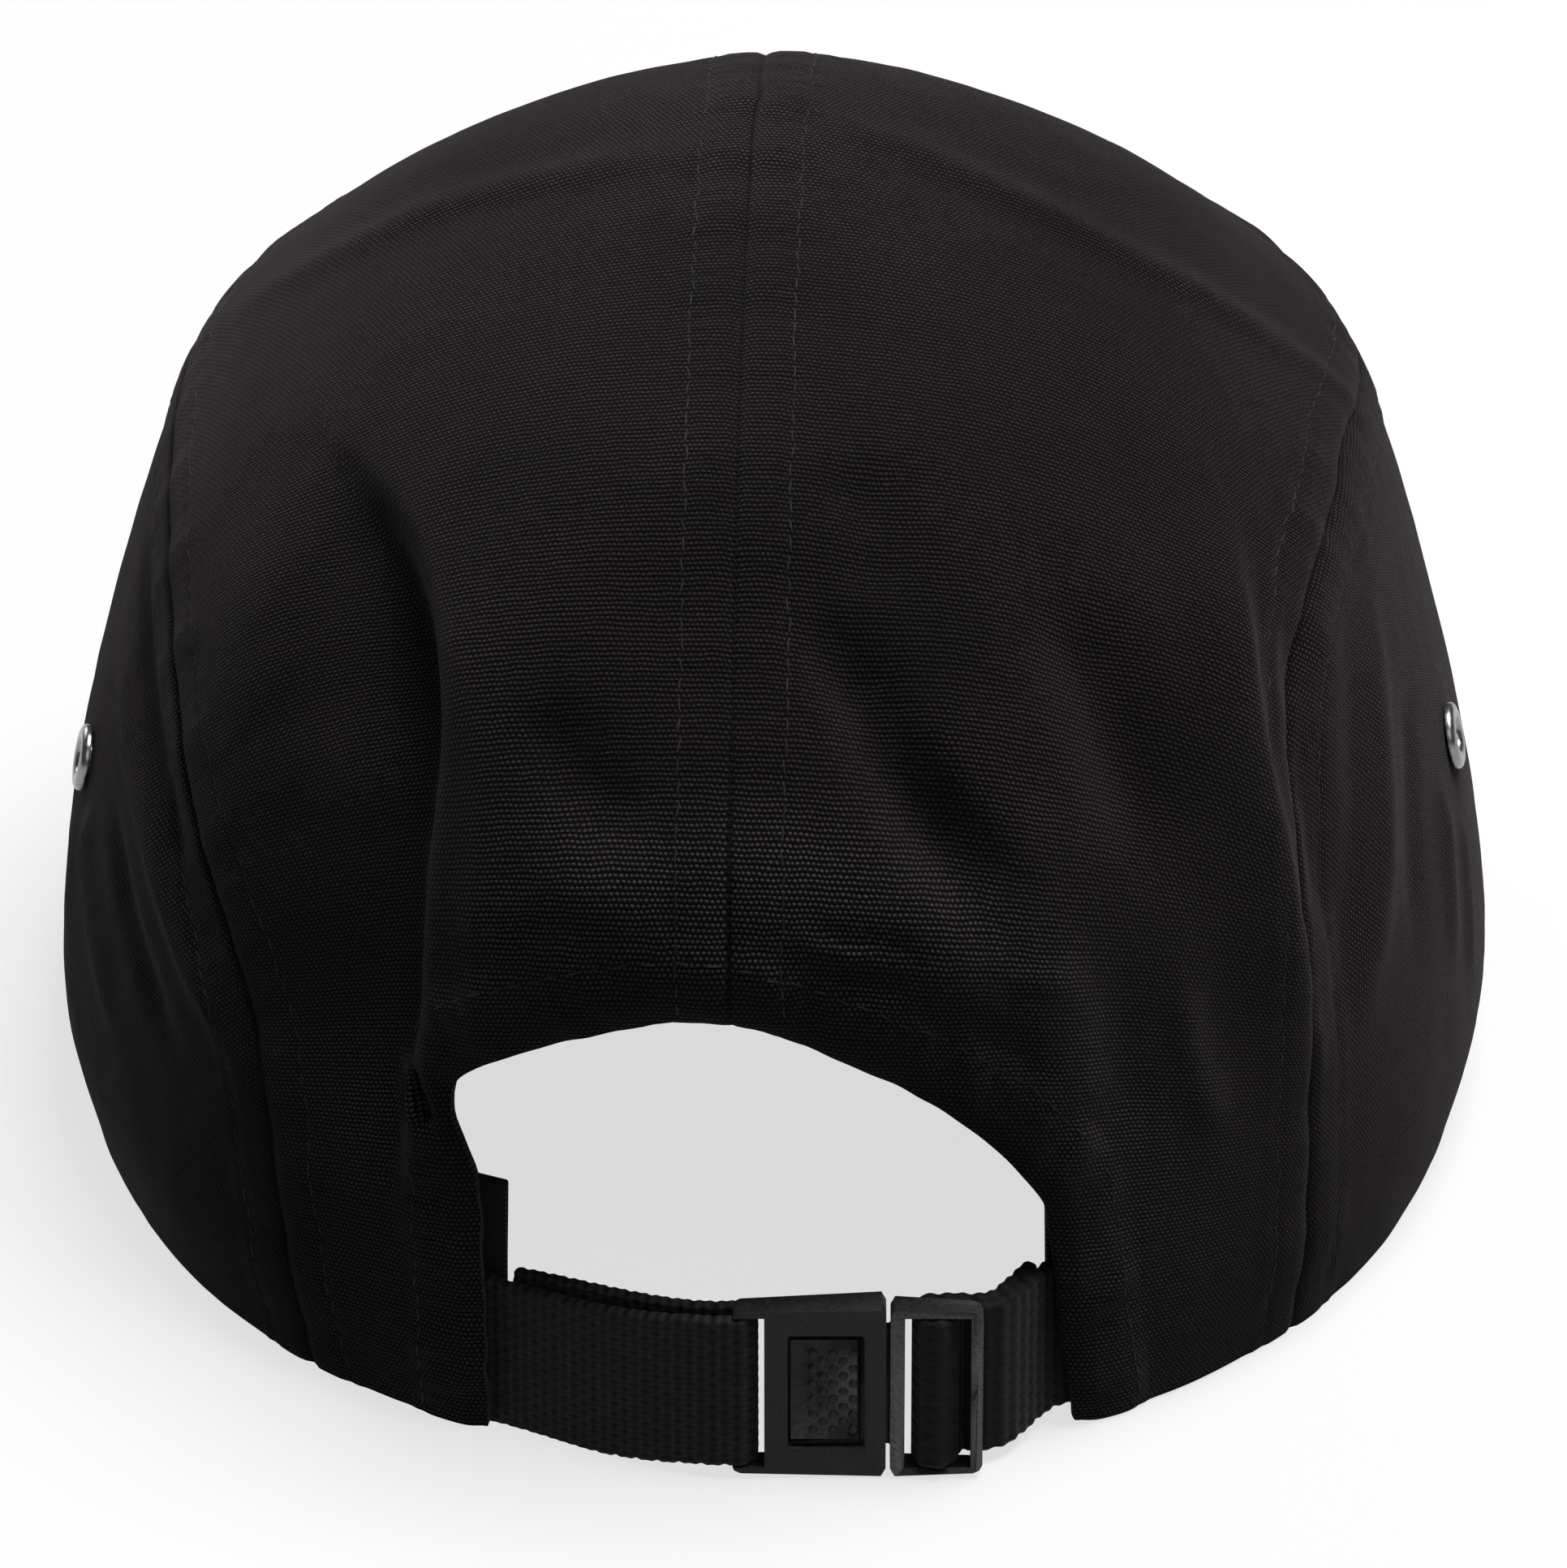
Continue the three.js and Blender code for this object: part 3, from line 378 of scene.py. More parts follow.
footLeft = outlineFoot(0, 1)
footRight = outlineFoot(outlineLast - 1, outlineLast)
archTop = outlineAtSeam()
archTopPlace = openingEdge(archTop, archTop)(np.zeros(1))[0]
seamLines = {name: onCloth(seamEdge(name)) for name in seams}
hemLine = onCloth(openingEdge(footLeft, footRight), 240)
print("seams and folds laid out")


def sewingHeight(points, normals, sewn, hemmed):
    # Lift of the cloth by its sewing, and the run and distance that the stitches' shading follows.
    nearest, runs = np.full(len(points), 1.0), np.zeros(len(points))
    for name in sewn:
        distance, run, _, _ = lineField(points, normals, seamLines[name])
        runs = np.where(distance < nearest, run, runs)
        nearest = np.minimum(distance, nearest)
    ridge = 1 - smoothStep(sewing["allowance"], sewing["allowance"] + sewing["allowanceSlope"], nearest)
    fine, slow, other = sewing["puckerWaves"]
    wave = np.sin(runs / fine) * np.sin(runs / slow + 1) + np.sin(runs / other + 2)
    height = ridge * (sewing["allowanceRise"] + sewing["pucker"] * wave)
    height -= groove(nearest, sewing["groove"], sewing["grooveDepth"])
    height -= groove(nearest - sewing["allowance"], sewing["stitchGroove"], sewing["stitchDepth"])
    hem, hemRun = np.full(len(points), 1.0), np.zeros(len(points))
    if hemmed:
        hem, hemRun, _, _ = lineField(points, normals, hemLine)
        band = 1 - smoothStep(sewing["hem"], sewing["hem"] + sewing["hemSlope"], hem)
        fine, slow, other = sewing["hemWaves"]
        wave = np.sin(hemRun / fine + 5 * hem / sewing["hem"]) * np.sin(hemRun / slow)
        wave += np.sin(hemRun / other - 2)
        height += band * (sewing["hemRise"] + sewing["hemPucker"] * wave)
        height -= groove(hem - sewing["hem"], sewing["stitchGroove"], sewing["stitchDepth"])
        height -= groove(hem, sewing["hemEdge"], sewing["hemEdgeDepth"])
    return height, np.stack([runs, nearest], 1) / mm, np.stack([hemRun, hem], 1) / mm


# Tools for laying sheets and finishing pieces

def selectOnly(*objects):
    bpy.ops.object.select_all(action="DESELECT")
    for thing in objects:
        thing.select_set(True)
    bpy.context.view_layer.objects.active = objects[0]


def meshPlaces(thing):
    places = np.empty(len(thing.data.vertices) * 3, np.float64)
    thing.data.vertices.foreach_get("co", places)
    return places.reshape(-1, 3)


def movePlaces(thing, places):
    thing.data.vertices.foreach_set("co", np.ascontiguousarray(places, float).ravel())
    thing.data.update()


def addGrid(columns, rows, place):
    # A flat grid whose vertices are moved to place(a, b), with a and b from 0 to 1.
    bpy.ops.object.select_all(action="DESELECT")
    bpy.ops.mesh.primitive_grid_add(x_subdivisions=columns, y_subdivisions=rows, size=1)
    grid = bpy.context.active_object
    flat = meshPlaces(grid) + 0.5
    movePlaces(grid, place(np.clip(flat[:, 0], 0, 1), np.clip(flat[:, 1], 0, 1)))
    return grid


def joinAll(name, pieces):
    selectOnly(*pieces)
    if len(pieces) > 1:
        bpy.ops.object.join()
    joined = bpy.context.active_object
    joined.name = joined.data.name = name
    return joined


def editAll(thing, *steps):
    selectOnly(thing)
    bpy.ops.object.mode_set(mode="EDIT")
    bpy.ops.mesh.select_all(action="SELECT")
    for step, settings in steps:
        step(**settings)
    bpy.ops.object.mode_set(mode="OBJECT")


def addModifier(thing, kind, **settings):
    selectOnly(thing)
    modifier = thing.modifiers.new(kind.title(), kind)
    for key, value in settings.items():
        setattr(modifier, key, value)
    bpy.ops.object.modifier_apply(modifier=modifier.name)


def smooth(thing, angle=40):
    selectOnly(thing)
    bpy.ops.object.shade_smooth_by_angle(angle=angle * degree)


def sheetBetween(bottom, top, first, last):  # a sheet spread between four edges
    ends = np.array([0.0, 1.0])
    (b0, b1), (t0, t1) = bottom(ends), top(ends)

    def place(a, b):
        u, v = a[:, None], b[:, None]
        ruled = (1 - v) * bottom(a) + v * top(a) + (1 - u) * first(b) + u * last(b)
        corners = (1 - v) * ((1 - u) * b0 + u * b1) + v * ((1 - u) * t0 + u * t1)
        flat = ruled - corners
        return np.column_stack([flat, np.zeros(len(flat))])
    return place


def loopVertices(thing):
    vertices = np.empty(len(thing.data.loops), int)
    thing.data.loops.foreach_get("vertex_index", vertices)
    return vertices


def addUv(thing, name, values):
    layer = thing.data.uv_layers.new(name=name)
    layer.data.foreach_set("uv", values[loopVertices(thing)].astype(np.float32).ravel())


def faceUp(sheet):
    if sheet.data.polygons[0].normal.z < 0:
        editAll(sheet, (bpy.ops.mesh.flip_normals, {}))


def thicken(sheet, thick, offset, roundness, segments, corner):  # with rounded edges
    addModifier(sheet, "SOLIDIFY", thickness=thick, offset=offset, use_even_offset=True)
    addModifier(sheet, "BEVEL", width=roundness, segments=segments, limit_method="ANGLE",
                angle_limit=corner * degree)


def clothGrain(points, turn):
    # The weave of cloth laid over the crown, both ways in mm: its rows run across the line up from a turn.
    ahead = np.array([math.cos(turn * degree), math.sin(turn * degree), 0])
    aside = np.array([-ahead[1], ahead[0], 0])

    def tilt(places):
        return np.arctan2(places[:, 2], places @ ahead)

    rises = np.linspace(0, 0.98, 80)
    near, far = (crownPoint(onDisc(way, rises)) - origin for way in (turn, turn + 180))
    profile = np.concatenate([near, far[::-1]])
    places = points - origin
    radius = np.linalg.norm(places, axis=1)
    across = radius * np.arcsin(places @ aside / radius)
    return np.stack([across, np.interp(tilt(places), tilt(profile), runAlong(profile))], 1) / mm


cloth = {"cell": 0.0011, "rumple": 0.0007, "rumpleSize": 0.026, "crinkle": 0.00022, "crinkleSize": 0.007,
         "edgeRound": 0.00055, "weld": 0.003}


def addClouds(thing, name, size, strength):
    clouds = bpy.data.textures.new(name, "CLOUDS")
    clouds.noise_scale = size
    clouds.noise_depth = 1
    addModifier(thing, "DISPLACE", texture=clouds, texture_coords="GLOBAL", strength=strength, mid_level=0.5)


def edgeLength(edge):
    return runAlong(onCloth(edge))[-1]


def makePanel(name, patches, sewn, hemmed, grain):
    grids = []
    for bottom, top, first, last, columns, rows in patches:
        grids.append(addGrid(columns, rows, sheetBetween(bottom, top, first, last)))
        faceUp(grids[-1])
    panel = joinAll(name, grids)
    if len(grids) > 1:
        editAll(panel, (bpy.ops.mesh.remove_doubles, {"threshold": cloth["weld"]}))
    flat = meshPlaces(panel)[:, :2]
    rise = riseOf(flat)
    points, normals = crownPoint(flat), crownNormal(flat)
    lift, worn = foldHeight(points, normals, rise)
    sewnLift, seamPlace, hemPlace = sewingHeight(points, normals, sewn, hemmed)
    movePlaces(panel, points + normals * (lift + sewnLift)[:, None])
    addUv(panel, "grain", clothGrain(points, grain))
    addUv(panel, "seam", seamPlace)
    addUv(panel, "hem", hemPlace)
    # wear on the fold ridges, and the rise that places the painted light on the crest
    addUv(panel, "wearAndRise", np.stack([worn, rise], 1))
    addClouds(panel, name + "Rumple", cloth["rumpleSize"], cloth["rumple"])
    addClouds(panel, name + "Crinkle", cloth["crinkleSize"], cloth["crinkle"])
    thicken(panel, crown["wall"], -1, cloth["edgeRound"], 3, 55)
    smooth(panel, 60)
    return panel


def cells(length):
    return max(2, round(length / cloth["cell"]))


def backPatches(side, foot, corner, sign):
    # A tab between the side seam and the opening's leg, and the long panel above it.
    seamName, gap = "side" + side, sign * sewing["gap"]

    def seam(start, end):
        return evenEdge(setBack(seamEdge(seamName, start, end), gap))

    cornerPlace = openingEdge(corner, corner)(np.zeros(1))[0]
    split = seamStepAtRise(seamName, riseOf(cornerPlace))
    lowSeam, highSeam = seam(0, split), seam(split, 1)
    across = straightEdge(setBack(seamEdge(seamName), gap)(np.array([split]))[0], cornerPlace)
    arch, leg = evenEdge(openingEdge(corner, archTop)), evenEdge(openingEdge(foot, corner))
    tabColumns = cells(edgeLength(across))
    columns = tabColumns + cells(edgeLength(arch))
    footTurn = float(np.arctan2(*leg(np.zeros(1))[0][::-1]) / degree)
    rim = evenEdge(rimEdge(seams[seamName][0][0], footTurn))
    archStep = seamStepAtRise("centre", riseOf(archTopPlace), 1, 4000)
    centre = evenEdge(setBack(seamEdge("centre", archStep), -gap))
    front = evenEdge(setBack(seamEdge("frontTop", 0 if side == "Right" else 1, 0.5), gap))
    meet = centre(np.zeros(1))[0] - arch(np.ones(1))[0]
    bottom = joinEdges(across, lambda t: arch(t) + t[:, None] * meet, tabColumns / columns)
    return [
        (rim, across, lowSeam, leg, tabColumns, cells(edgeLength(lowSeam))),
        (bottom, front, highSeam, centre, columns, cells(edgeLength(highSeam))),
    ]


def sidePatch(side, sign):
    seamName, frontName = "side" + side, "front" + side
    shoulder = 1 / 3  # share of the side seam that is the upright back edge
    gap = sign * sewing["gap"]
    rim = evenEdge(rimEdge(seams[frontName][0][0], seams[seamName][0][0]))
    upper = evenEdge(setBack(seamEdge(seamName, 1, shoulder), gap))
    back = evenEdge(setBack(seamEdge(seamName, 0, shoulder), -gap))
    front = evenEdge(setBack(seamEdge(frontName), gap))
    return [(rim, upper, front, back, cells(edgeLength(rim)), cells(edgeLength(back)))]


def frontPatch():
    gap = sewing["gap"]
    rim = evenEdge(rimEdge(seams["frontRight"][0][0], 360 + seams["frontLeft"][0][0]))
    upper = evenEdge(setBack(seamEdge("frontTop"), -gap))
    right = evenEdge(setBack(seamEdge("frontRight"), gap))
    left = evenEdge(setBack(seamEdge("frontLeft"), -gap))
    return [(rim, upper, right, left, cells(edgeLength(rim)), cells(edgeLength(right)))]


# For each panel: patches, seams sewn along it, whether it has the hem, and the turn its weave runs up from
panelLayout = {
    "back_left": (backPatches("Left", footLeft, opening["leftCorner"], 1),
                  ["sideLeft", "centre", "frontTop"], True, 86.5),
    "back_right": (backPatches("Right", footRight, opening["rightCorner"], -1),
                   ["sideRight", "centre", "frontTop"], True, 86.5),
    "side_left": (sidePatch("Left", 1), ["sideLeft", "frontLeft"], False, 0),
    "side_right": (sidePatch("Right", -1), ["sideRight", "frontRight"], False, 180),
    "front": (frontPatch(), ["frontTop", "frontLeft", "frontRight"], False, 270),
}
panels = {}
for panelName, (patches, sewn, hemmed, grain) in panelLayout.items():
    panels[panelName] = makePanel(panelName + "_cloth", patches, sewn, hemmed, grain)
    print("panel", panelName, len(panels[panelName].data.polygons), "faces")

# Sweatband: it lies behind the cloth, follows its dents and is tucked in at its ends
band = {"tall": 0.0325, "thick": 0.0012, "clearOfRim": 0.0008, "slack": 0.0005, "pastTab": 0.001,
        "tuck": 0.0024, "tuckTurn": 16, "cell": 0.002, "round": 0.0004, "rumple": 0.0003, "rumpleSize": 0.012}
webbing = {"wide": 0.020, "thick": 0.0013, "lift": 0.0019, "sag": 0.0017, "hidden": 0.008,
           "layerBack": 0.0017, "ease": 0.3, "fitGap": 0.0003, "cell": 0.0003, "dip": 0.0011,
           "dipEnd": 0.46, "round": 0.00035}
backReach = crown["rimLength"] / 2 + crown["crestForward"]
webbingMiddle = webbing["lift"] + webbing["wide"] / 2
middleRise = riseAtHeight(webbingMiddle)
tabLeft, tabRight = (
    float(turnAt(np.array([opening["outline"][row][0] * opening["width"] / 2]), middleRise)[0])
    for row in (1, -2)
)


def bandPlace(a, b):
    start, end = tabRight, 360 + tabLeft + band["pastTab"] / backReach / degree
    turn = start + (end - start) * a
    toEnd = np.minimum(turn - start, end - turn)
    tuck = band["tuck"] * (1 - smoothStep(band["tuckTurn"] / 2, band["tuckTurn"], toEnd))
    low = rimLift(turn) + band["clearOfRim"]
    flat = onDisc(turn, riseAtHeight(low + b * (band["tall"] - low)))
    points, normals = crownPoint(flat), crownNormal(flat)
    lift, _ = foldHeight(points, normals, riseOf(flat))
    depth = crown["wall"] + band["slack"] + tuck + band["thick"] / 2
    return points + normals * (np.minimum(lift, 0) - depth)[:, None]


bandLength = 2 * math.pi * (crown["rimWidth"] + crown["rimLength"]) / 4
sweatband = addGrid(round(bandLength / band["cell"]), round(band["tall"] / band["cell"]), bandPlace)
sweatband.name = sweatband.data.name = "sweatband_tape"
bandPlaces = meshPlaces(sweatband) - origin
bandTurn = np.arctan2(bandPlaces[:, 0], -bandPlaces[:, 1])
addUv(sweatband, "grain", np.stack([bandLength / (2 * math.pi) * bandTurn, bandPlaces[:, 2]], 1) / mm)
addClouds(sweatband, "bandRumple", band["rumpleSize"], band["rumple"])
thicken(sweatband, band["thick"], 0, band["round"], 3, 55)
smooth(sweatband, 60)
print("sweatband made")

# Peak: a stiff board covered in canvas
peak = {"thick": 0.003, "squareness": 2.3, "droop": 0.45, "ease": 0.3, "gap": 0.0003, "cell": 0.0016,
        "round": 0.0012, "stitchRows": 5, "rowStep": 0.0085, "firstRow": 0.0045,
        "groove": 0.0009, "grooveDepth": 0.0003, "rumple": 0.00025, "rumpleSize": 0.02}
frontReach = crown["rimLength"] / 2 - crown["crestForward"]


def peakPlace(a, b):
    a = 2 * a - 1
    turn = 270 + a * crown["peakHalfTurn"]
    edge = rimLift(turn)
    inner = crownPoint(onDisc(turn, riseAtHeight(edge + peak["thick"]))) - origin
    out = inner[:, :2] + [0, crown["crestForward"]]
    inner[:, :2] += unit(out) * peak["gap"]
    reach = frontReach + crown["crestForward"] + crown["peakLength"] + peakCorner[1]
    angle, power = a * math.pi / 2, 2 / peak["squareness"]
    outerX = np.sign(a) * peakHalfWidth * abs(np.sin(angle)) ** power
    outerY = peakCorner[1] - reach * np.maximum(np.cos(angle), 0) ** power
    x = inner[:, 0] + (outerX - inner[:, 0]) * b
    y = inner[:, 1] + (outerY - inner[:, 1]) * b
    free = camber(x) * (1 - peak["droop"] * b * b)
    z = edge + (free - edge) * smoothStep(0, peak["ease"], b) + peak["thick"]
    return np.column_stack([x, y, z]) + origin


peakEdgeLine = peakPlace(np.linspace(0, 1, 240), np.ones(240))
peakColumns = round(runAlong(peakEdgeLine)[-1] / peak["cell"])
board = addGrid(peakColumns, round(crown["peakLength"] / peak["cell"]), peakPlace)
board.name = board.data.name = "peak_cover"
boardPlaces = meshPlaces(board)
boardUp = np.tile([0.0, 0.0, 1.0], (len(boardPlaces), 1))
edgeDistance, edgeRun, _, _ = lineField(boardPlaces, boardUp, peakEdgeLine)
peakRows = peak["firstRow"] + peak["rowStep"] * np.arange(peak["stitchRows"])
for row in peakRows:
    boardPlaces[:, 2] -= groove(edgeDistance - row, peak["groove"], peak["grooveDepth"])
movePlaces(board, boardPlaces)
fromRow = (edgeDistance - peakRows[0] + peak["rowStep"] / 2) % peak["rowStep"] - peak["rowStep"] / 2
fromRow[edgeDistance > peakRows[-1] + peak["rowStep"] / 2] = 2 * sewing["allowance"]
farAway = 99.0  # in mm, out of the reach of the hem
addUv(board, "grain", (boardPlaces[:, :2] - origin[:2]) / mm)
addUv(board, "seam", np.stack([edgeRun, fromRow + sewing["allowance"]], 1) / mm)
addUv(board, "hem", np.full((len(boardPlaces), 2), farAway))
addUv(board, "wearAndRise", np.zeros((len(boardPlaces), 2)))
faceUp(board)
addClouds(board, "peakRumple", peak["rumpleSize"], peak["rumple"])
thicken(board, peak["thick"], -1, peak["round"], 4, 50)
smooth(board, 60)
print("peak made")

# Strap. In plan, p runs along it to the wearer's right from the buckle's joint, q in from its face.
buckle = {
    "aside": 0.0135, "proud": 0.0038, "halfJoint": 0.00025, "socketLong": 0.0182,
    "socketBarInset": 0.0008, "socketBarDepth": 0.0023, "socketBarRadius": 0.0007,
    "plugLong": 0.0109, "plugBarPlace": 0.00535, "plugBarRadius": 0.001, "plugBarDepth": 0.002,
}
strapOrigin = np.array([
    origin[0] - buckle["aside"],
    origin[1] + backReach - crown["crestForward"] + buckle["proud"],
])


def rimFrame(turn, depth):
    flat = onDisc(np.array([turn - 0.5, turn, turn + 0.5]), 0)
    places = strapOrigin - (crownPoint(flat)[:, :2] - unit(crownNormal(flat)[:, :2]) * depth)
    return places[1], unit(places[2] - places[0])


def curveBetween(start, leaving, end, arriving, steps=60):
    ease = np.linalg.norm(end - start) * webbing["ease"]
    near, far = start + leaving * ease, end - arriving * ease
    t = np.linspace(0, 1, steps)[:, None]
    return (1 - t) ** 3 * start + 3 * (1 - t) ** 2 * t * near + 3 * (1 - t) * t**2 * far + t**3 * end


def arcAround(centre, radius, start, end, steps=16):
    angle = np.linspace(start, end, steps)
    return centre + radius * np.stack([np.cos(angle), np.sin(angle)], 1)


def secondLayer(points, side, nearTab, atBuckle, short):
    along = unit(np.gradient(points, axis=0))
    step = np.linspace(nearTab, atBuckle, len(points))[:, None]
    moved = points + side * step * np.stack([-along[:, 1], along[:, 0]], 1)
    return moved[np.linalg.norm(points - points[0], axis=1) > short][::-1]


def tabRun(turn, side, end):
    depth = crown["wall"] + webbing["fitGap"] + webbing["thick"] / 2
    hidden, hiddenAlong = rimFrame(turn - side * webbing["hidden"] / backReach / degree, depth)
    place, along = rimFrame(turn, depth)
    leaving = unit(2 * unit(end - place) + side * along)
    behind = curveBetween(hidden, side * hiddenAlong, place, leaving, 20)
    return place[0], behind, curveBetween(place, leaving, end, np.array([side, 0.0]))


def evenLine(points, steps):
    points = points[np.concatenate([[True], np.linalg.norm(np.diff(points, axis=0), axis=1) > 2e-5])]
    run = runAlong(points)
    at = np.linspace(0, run[-1], steps)
    return np.stack([np.interp(at, run, points[:, k]) for k in range(2)], 1), run[-1]


# Ribs cross the webbing, with a hole in each row where ribs meet, set off by half a step from the next.
fineWeave = {"pitch": (1.35, 1.5), "ribbed": 0.3, "depth": 0.22}
ribbedWeave = {"pitch": (1.9, 1.9), "ribbed": 0.5, "depth": 0.26}


def wovenRelief(run, tall, kind):
    rib = run / kind["pitch"][0]
    between = abs(np.cos(np.pi * rib))
    hole = (between * abs(np.cos(np.pi * (tall / kind["pitch"][1] + 0.5 * np.round(rib))))) ** 2
    return kind["depth"] * (1 - kind["ribbed"] * between**2 - (1 - kind["ribbed"]) * hole)


def makeWebbing(name, points, tab, inBuckle, sag, dip, kind):
    _, length = evenLine(points, 10)
    columns, rows = round(length / webbing["cell"]), round(webbing["wide"] / webbing["cell"])
    line, _ = evenLine(points, columns + 1)

    def place(a, b):
        p, q = (np.interp(a, np.linspace(0, 1, columns + 1), line[:, k]) for k in range(2))
        low = sag * np.clip((p - inBuckle) / (tab - inBuckle), 0, 1)
        low += dip * np.sin(np.pi * np.clip(a / webbing["dipEnd"], 0, 1))
        high = webbing["lift"] - low + b * webbing["wide"]
        return np.column_stack([strapOrigin[0] - p, strapOrigin[1] - q, high])

    ribbon = addGrid(columns, rows, place)
    ribbon.name = ribbon.data.name = name
    flat = np.array([(c, r) for r in range(rows + 1) for c in range(columns + 1)], float)
    addUv(ribbon, "grain", flat * [length / columns / mm, webbing["wide"] / rows / mm])
    thicken(ribbon, webbing["thick"], 0, webbing["round"], 2, 50)
    uv = np.empty(len(ribbon.data.loops) * 2)
    ribbon.data.uv_layers["grain"].data.foreach_get("uv", uv)
    grain = np.zeros((len(ribbon.data.vertices), 2))
    grain[loopVertices(ribbon)] = uv.reshape(-1, 2)
    normals = np.empty(len(ribbon.data.vertices) * 3)
    ribbon.data.vertices.foreach_get("normal", normals)
    relief = wovenRelief(*grain.T, kind)[:, None] * mm
    movePlaces(ribbon, meshPlaces(ribbon) + normals.reshape(-1, 3) * relief)
    smooth(ribbon, 70)
    return ribbon


half, quarter = webbing["thick"] / 2, math.pi / 2
socketEnd = -buckle["halfJoint"] - buckle["socketLong"]
socketBar = np.array([socketEnd + buckle["socketBarInset"], buckle["socketBarDepth"]])
wrap = buckle["socketBarRadius"] + webbing["fitGap"] + half
short = band["pastTab"] + 2 * webbing["fitGap"]
tab, behind, free = tabRun(tabLeft, 1, socketBar - [0, wrap])
loopLeft = np.concatenate([
    behind, free, arcAround(socketBar, wrap, -quarter, quarter),
    secondLayer(free, 1, webbing["layerBack"], 2 * wrap, short),
])
webbingLeft = makeWebbing("strap_left", loopLeft, tab, socketEnd, webbing["sag"], webbing["dip"], fineWeave)

plugEnd = buckle["halfJoint"] + buckle["plugLong"]
plugBar = np.array([buckle["halfJoint"] + buckle["plugBarPlace"], buckle["plugBarDepth"]])
wrap = buckle["plugBarRadius"] + webbing["fitGap"] + half
tail = webbing["thick"] + webbing["fitGap"]
tab, behind, free = tabRun(tabRight, -1, np.array([plugEnd, plugBar[1] + wrap]))
loopRight = np.concatenate([
    behind, free, arcAround(plugBar + [2 * wrap, 0], wrap, quarter, 2 * quarter),
    arcAround(plugBar, wrap, 0, -2 * quarter), arcAround(plugBar + [0, tail], wrap, 2 * quarter, quarter),
    secondLayer(free, -1, webbing["layerBack"], tail, webbing["thick"]),
])
webbingRight = makeWebbing("strap_right", loopRight, tab, plugEnd, 0, 0, ribbedWeave)
print("strap made")

# Buckle: both halves are the moulded forms of the frame with their edges and corners rounded
moulding = {
    "edge": 0.00028, "cornerRound": 0.0008, "cutAside": 0.0008, "cutInset": 0.0016, "cutDeep": 0.0005,
    "dotAcross": 0.0012, "dotProud": 0.00045, "dotSunk": 0.00015, "dotPitch": 0.00212, "dotRows": 6,
    "dotColumns": (-0.0041, -0.00645, -0.0088), "tongueDepth": 0.00155, "buttonFrom": -0.0015,
    "buttonFace": 0.0012, "buttonDepth": 0.0005, "buttonTrim": 0.0005, "buttonShare": 0.96,
    "buttonRaise": 0.0005,
}


def copyOfNode(nodeName, name):
    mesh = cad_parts[nodeName].data.copy()
    mesh.name = name
    mesh.materials.clear()
    piece = bpy.data.objects.new(name, mesh)
    bpy.context.scene.collection.objects.link(piece)
    editAll(piece, (bpy.ops.mesh.remove_doubles, {"threshold": 1e-6}),
            (bpy.ops.mesh.dissolve_limited, {"angle_limit": degree}))
    return piece


def roundCuts(piece):
    # The corners of windows, slots and button, whose edges run through the moulding
    editAll(piece, (bpy.ops.mesh.select_all, {"action": "DESELECT"}))
    places = meshPlaces(piece)
    low, high = places.min(0), places.max(0)
    aside, inset = moulding["cutAside"], moulding["cutInset"]
    for edge in piece.data.edges:
        a, b = places[edge.vertices[0]], places[edge.vertices[1]]
        middle, along = (a + b) / 2, b - a
        deep = abs(along[1]) > 0.98 * np.linalg.norm(along) and abs(along[1]) > moulding["cutDeep"]
        inside = low[0] + aside < middle[0] < high[0] - aside and low[2] + inset < middle[2] < high[2] - inset
        edge.select = bool(deep and inside)
        if edge.select:
            for vertex in edge.vertices:
                piece.data.vertices[vertex].select = True
    bpy.ops.object.mode_set(mode="EDIT")
    bpy.ops.mesh.select_mode(type="EDGE")
    bpy.ops.mesh.bevel(offset=moulding["cornerRound"], segments=4, affect="EDGES", clamp_overlap=True)
    bpy.ops.mesh.select_mode(type="VERT")
    bpy.ops.object.mode_set(mode="OBJECT")


def trimButton(piece):
    # The button is smaller than its window, most at the joint's side and below
    places = meshPlaces(piece)
    deep, run = strapOrigin[1] - places[:, 1], strapOrigin[0] - places[:, 0]
    inButton = (deep < moulding["tongueDepth"]) & (run < moulding["buttonFrom"])
    places[inButton & (run > run[inButton].mean()), 0] += moulding["buttonTrim"]
    places[inButton & (deep < moulding["buttonFace"]), 1] += moulding["buttonRaise"]
    places[inButton, 2] = webbingMiddle + (places[inButton, 2] - webbingMiddle) * moulding["buttonShare"]
    places[inButton & (places[:, 2] < webbingMiddle), 2] += moulding["buttonTrim"]
    movePlaces(piece, places)


def mouldedHalf(nodeName, name):
    shell = copyOfNode(nodeName, name)
    if nodeName == "buckle_plug":
        trimButton(shell)
    roundCuts(shell)
    addModifier(shell, "BEVEL", width=moulding["edge"], segments=3, limit_method="ANGLE",
                angle_limit=35 * degree)
    smooth(shell, 40)
    return shell


socket = mouldedHalf("buckle_socket", "buckle_socket_shell")
plug = mouldedHalf("buckle_plug", "buckle_plug_shell")
dotColumns = list(moulding["dotColumns"])
betweenColumns = [(a + b) / 2 for a, b in zip(dotColumns, dotColumns[1:])]
dotWide = moulding["dotAcross"]
dots = []
for across in dotColumns + betweenColumns:
    count = moulding["dotRows"] - (across in betweenColumns)
    for row in range(count):
        bpy.ops.mesh.primitive_uv_sphere_add(segments=12, ring_count=8, radius=0.5)
        dot = bpy.context.active_object
        shape = meshPlaces(dot) * [dotWide, 2 * (moulding["dotProud"] + moulding["dotSunk"]), dotWide]
        shape += [strapOrigin[0] - across, strapOrigin[1] - moulding["buttonDepth"] - moulding["dotSunk"],
                  webbingMiddle + (row - (count - 1) / 2) * moulding["dotPitch"]]
        movePlaces(dot, shape)
        smooth(dot, 60)
        dots.append(dot)
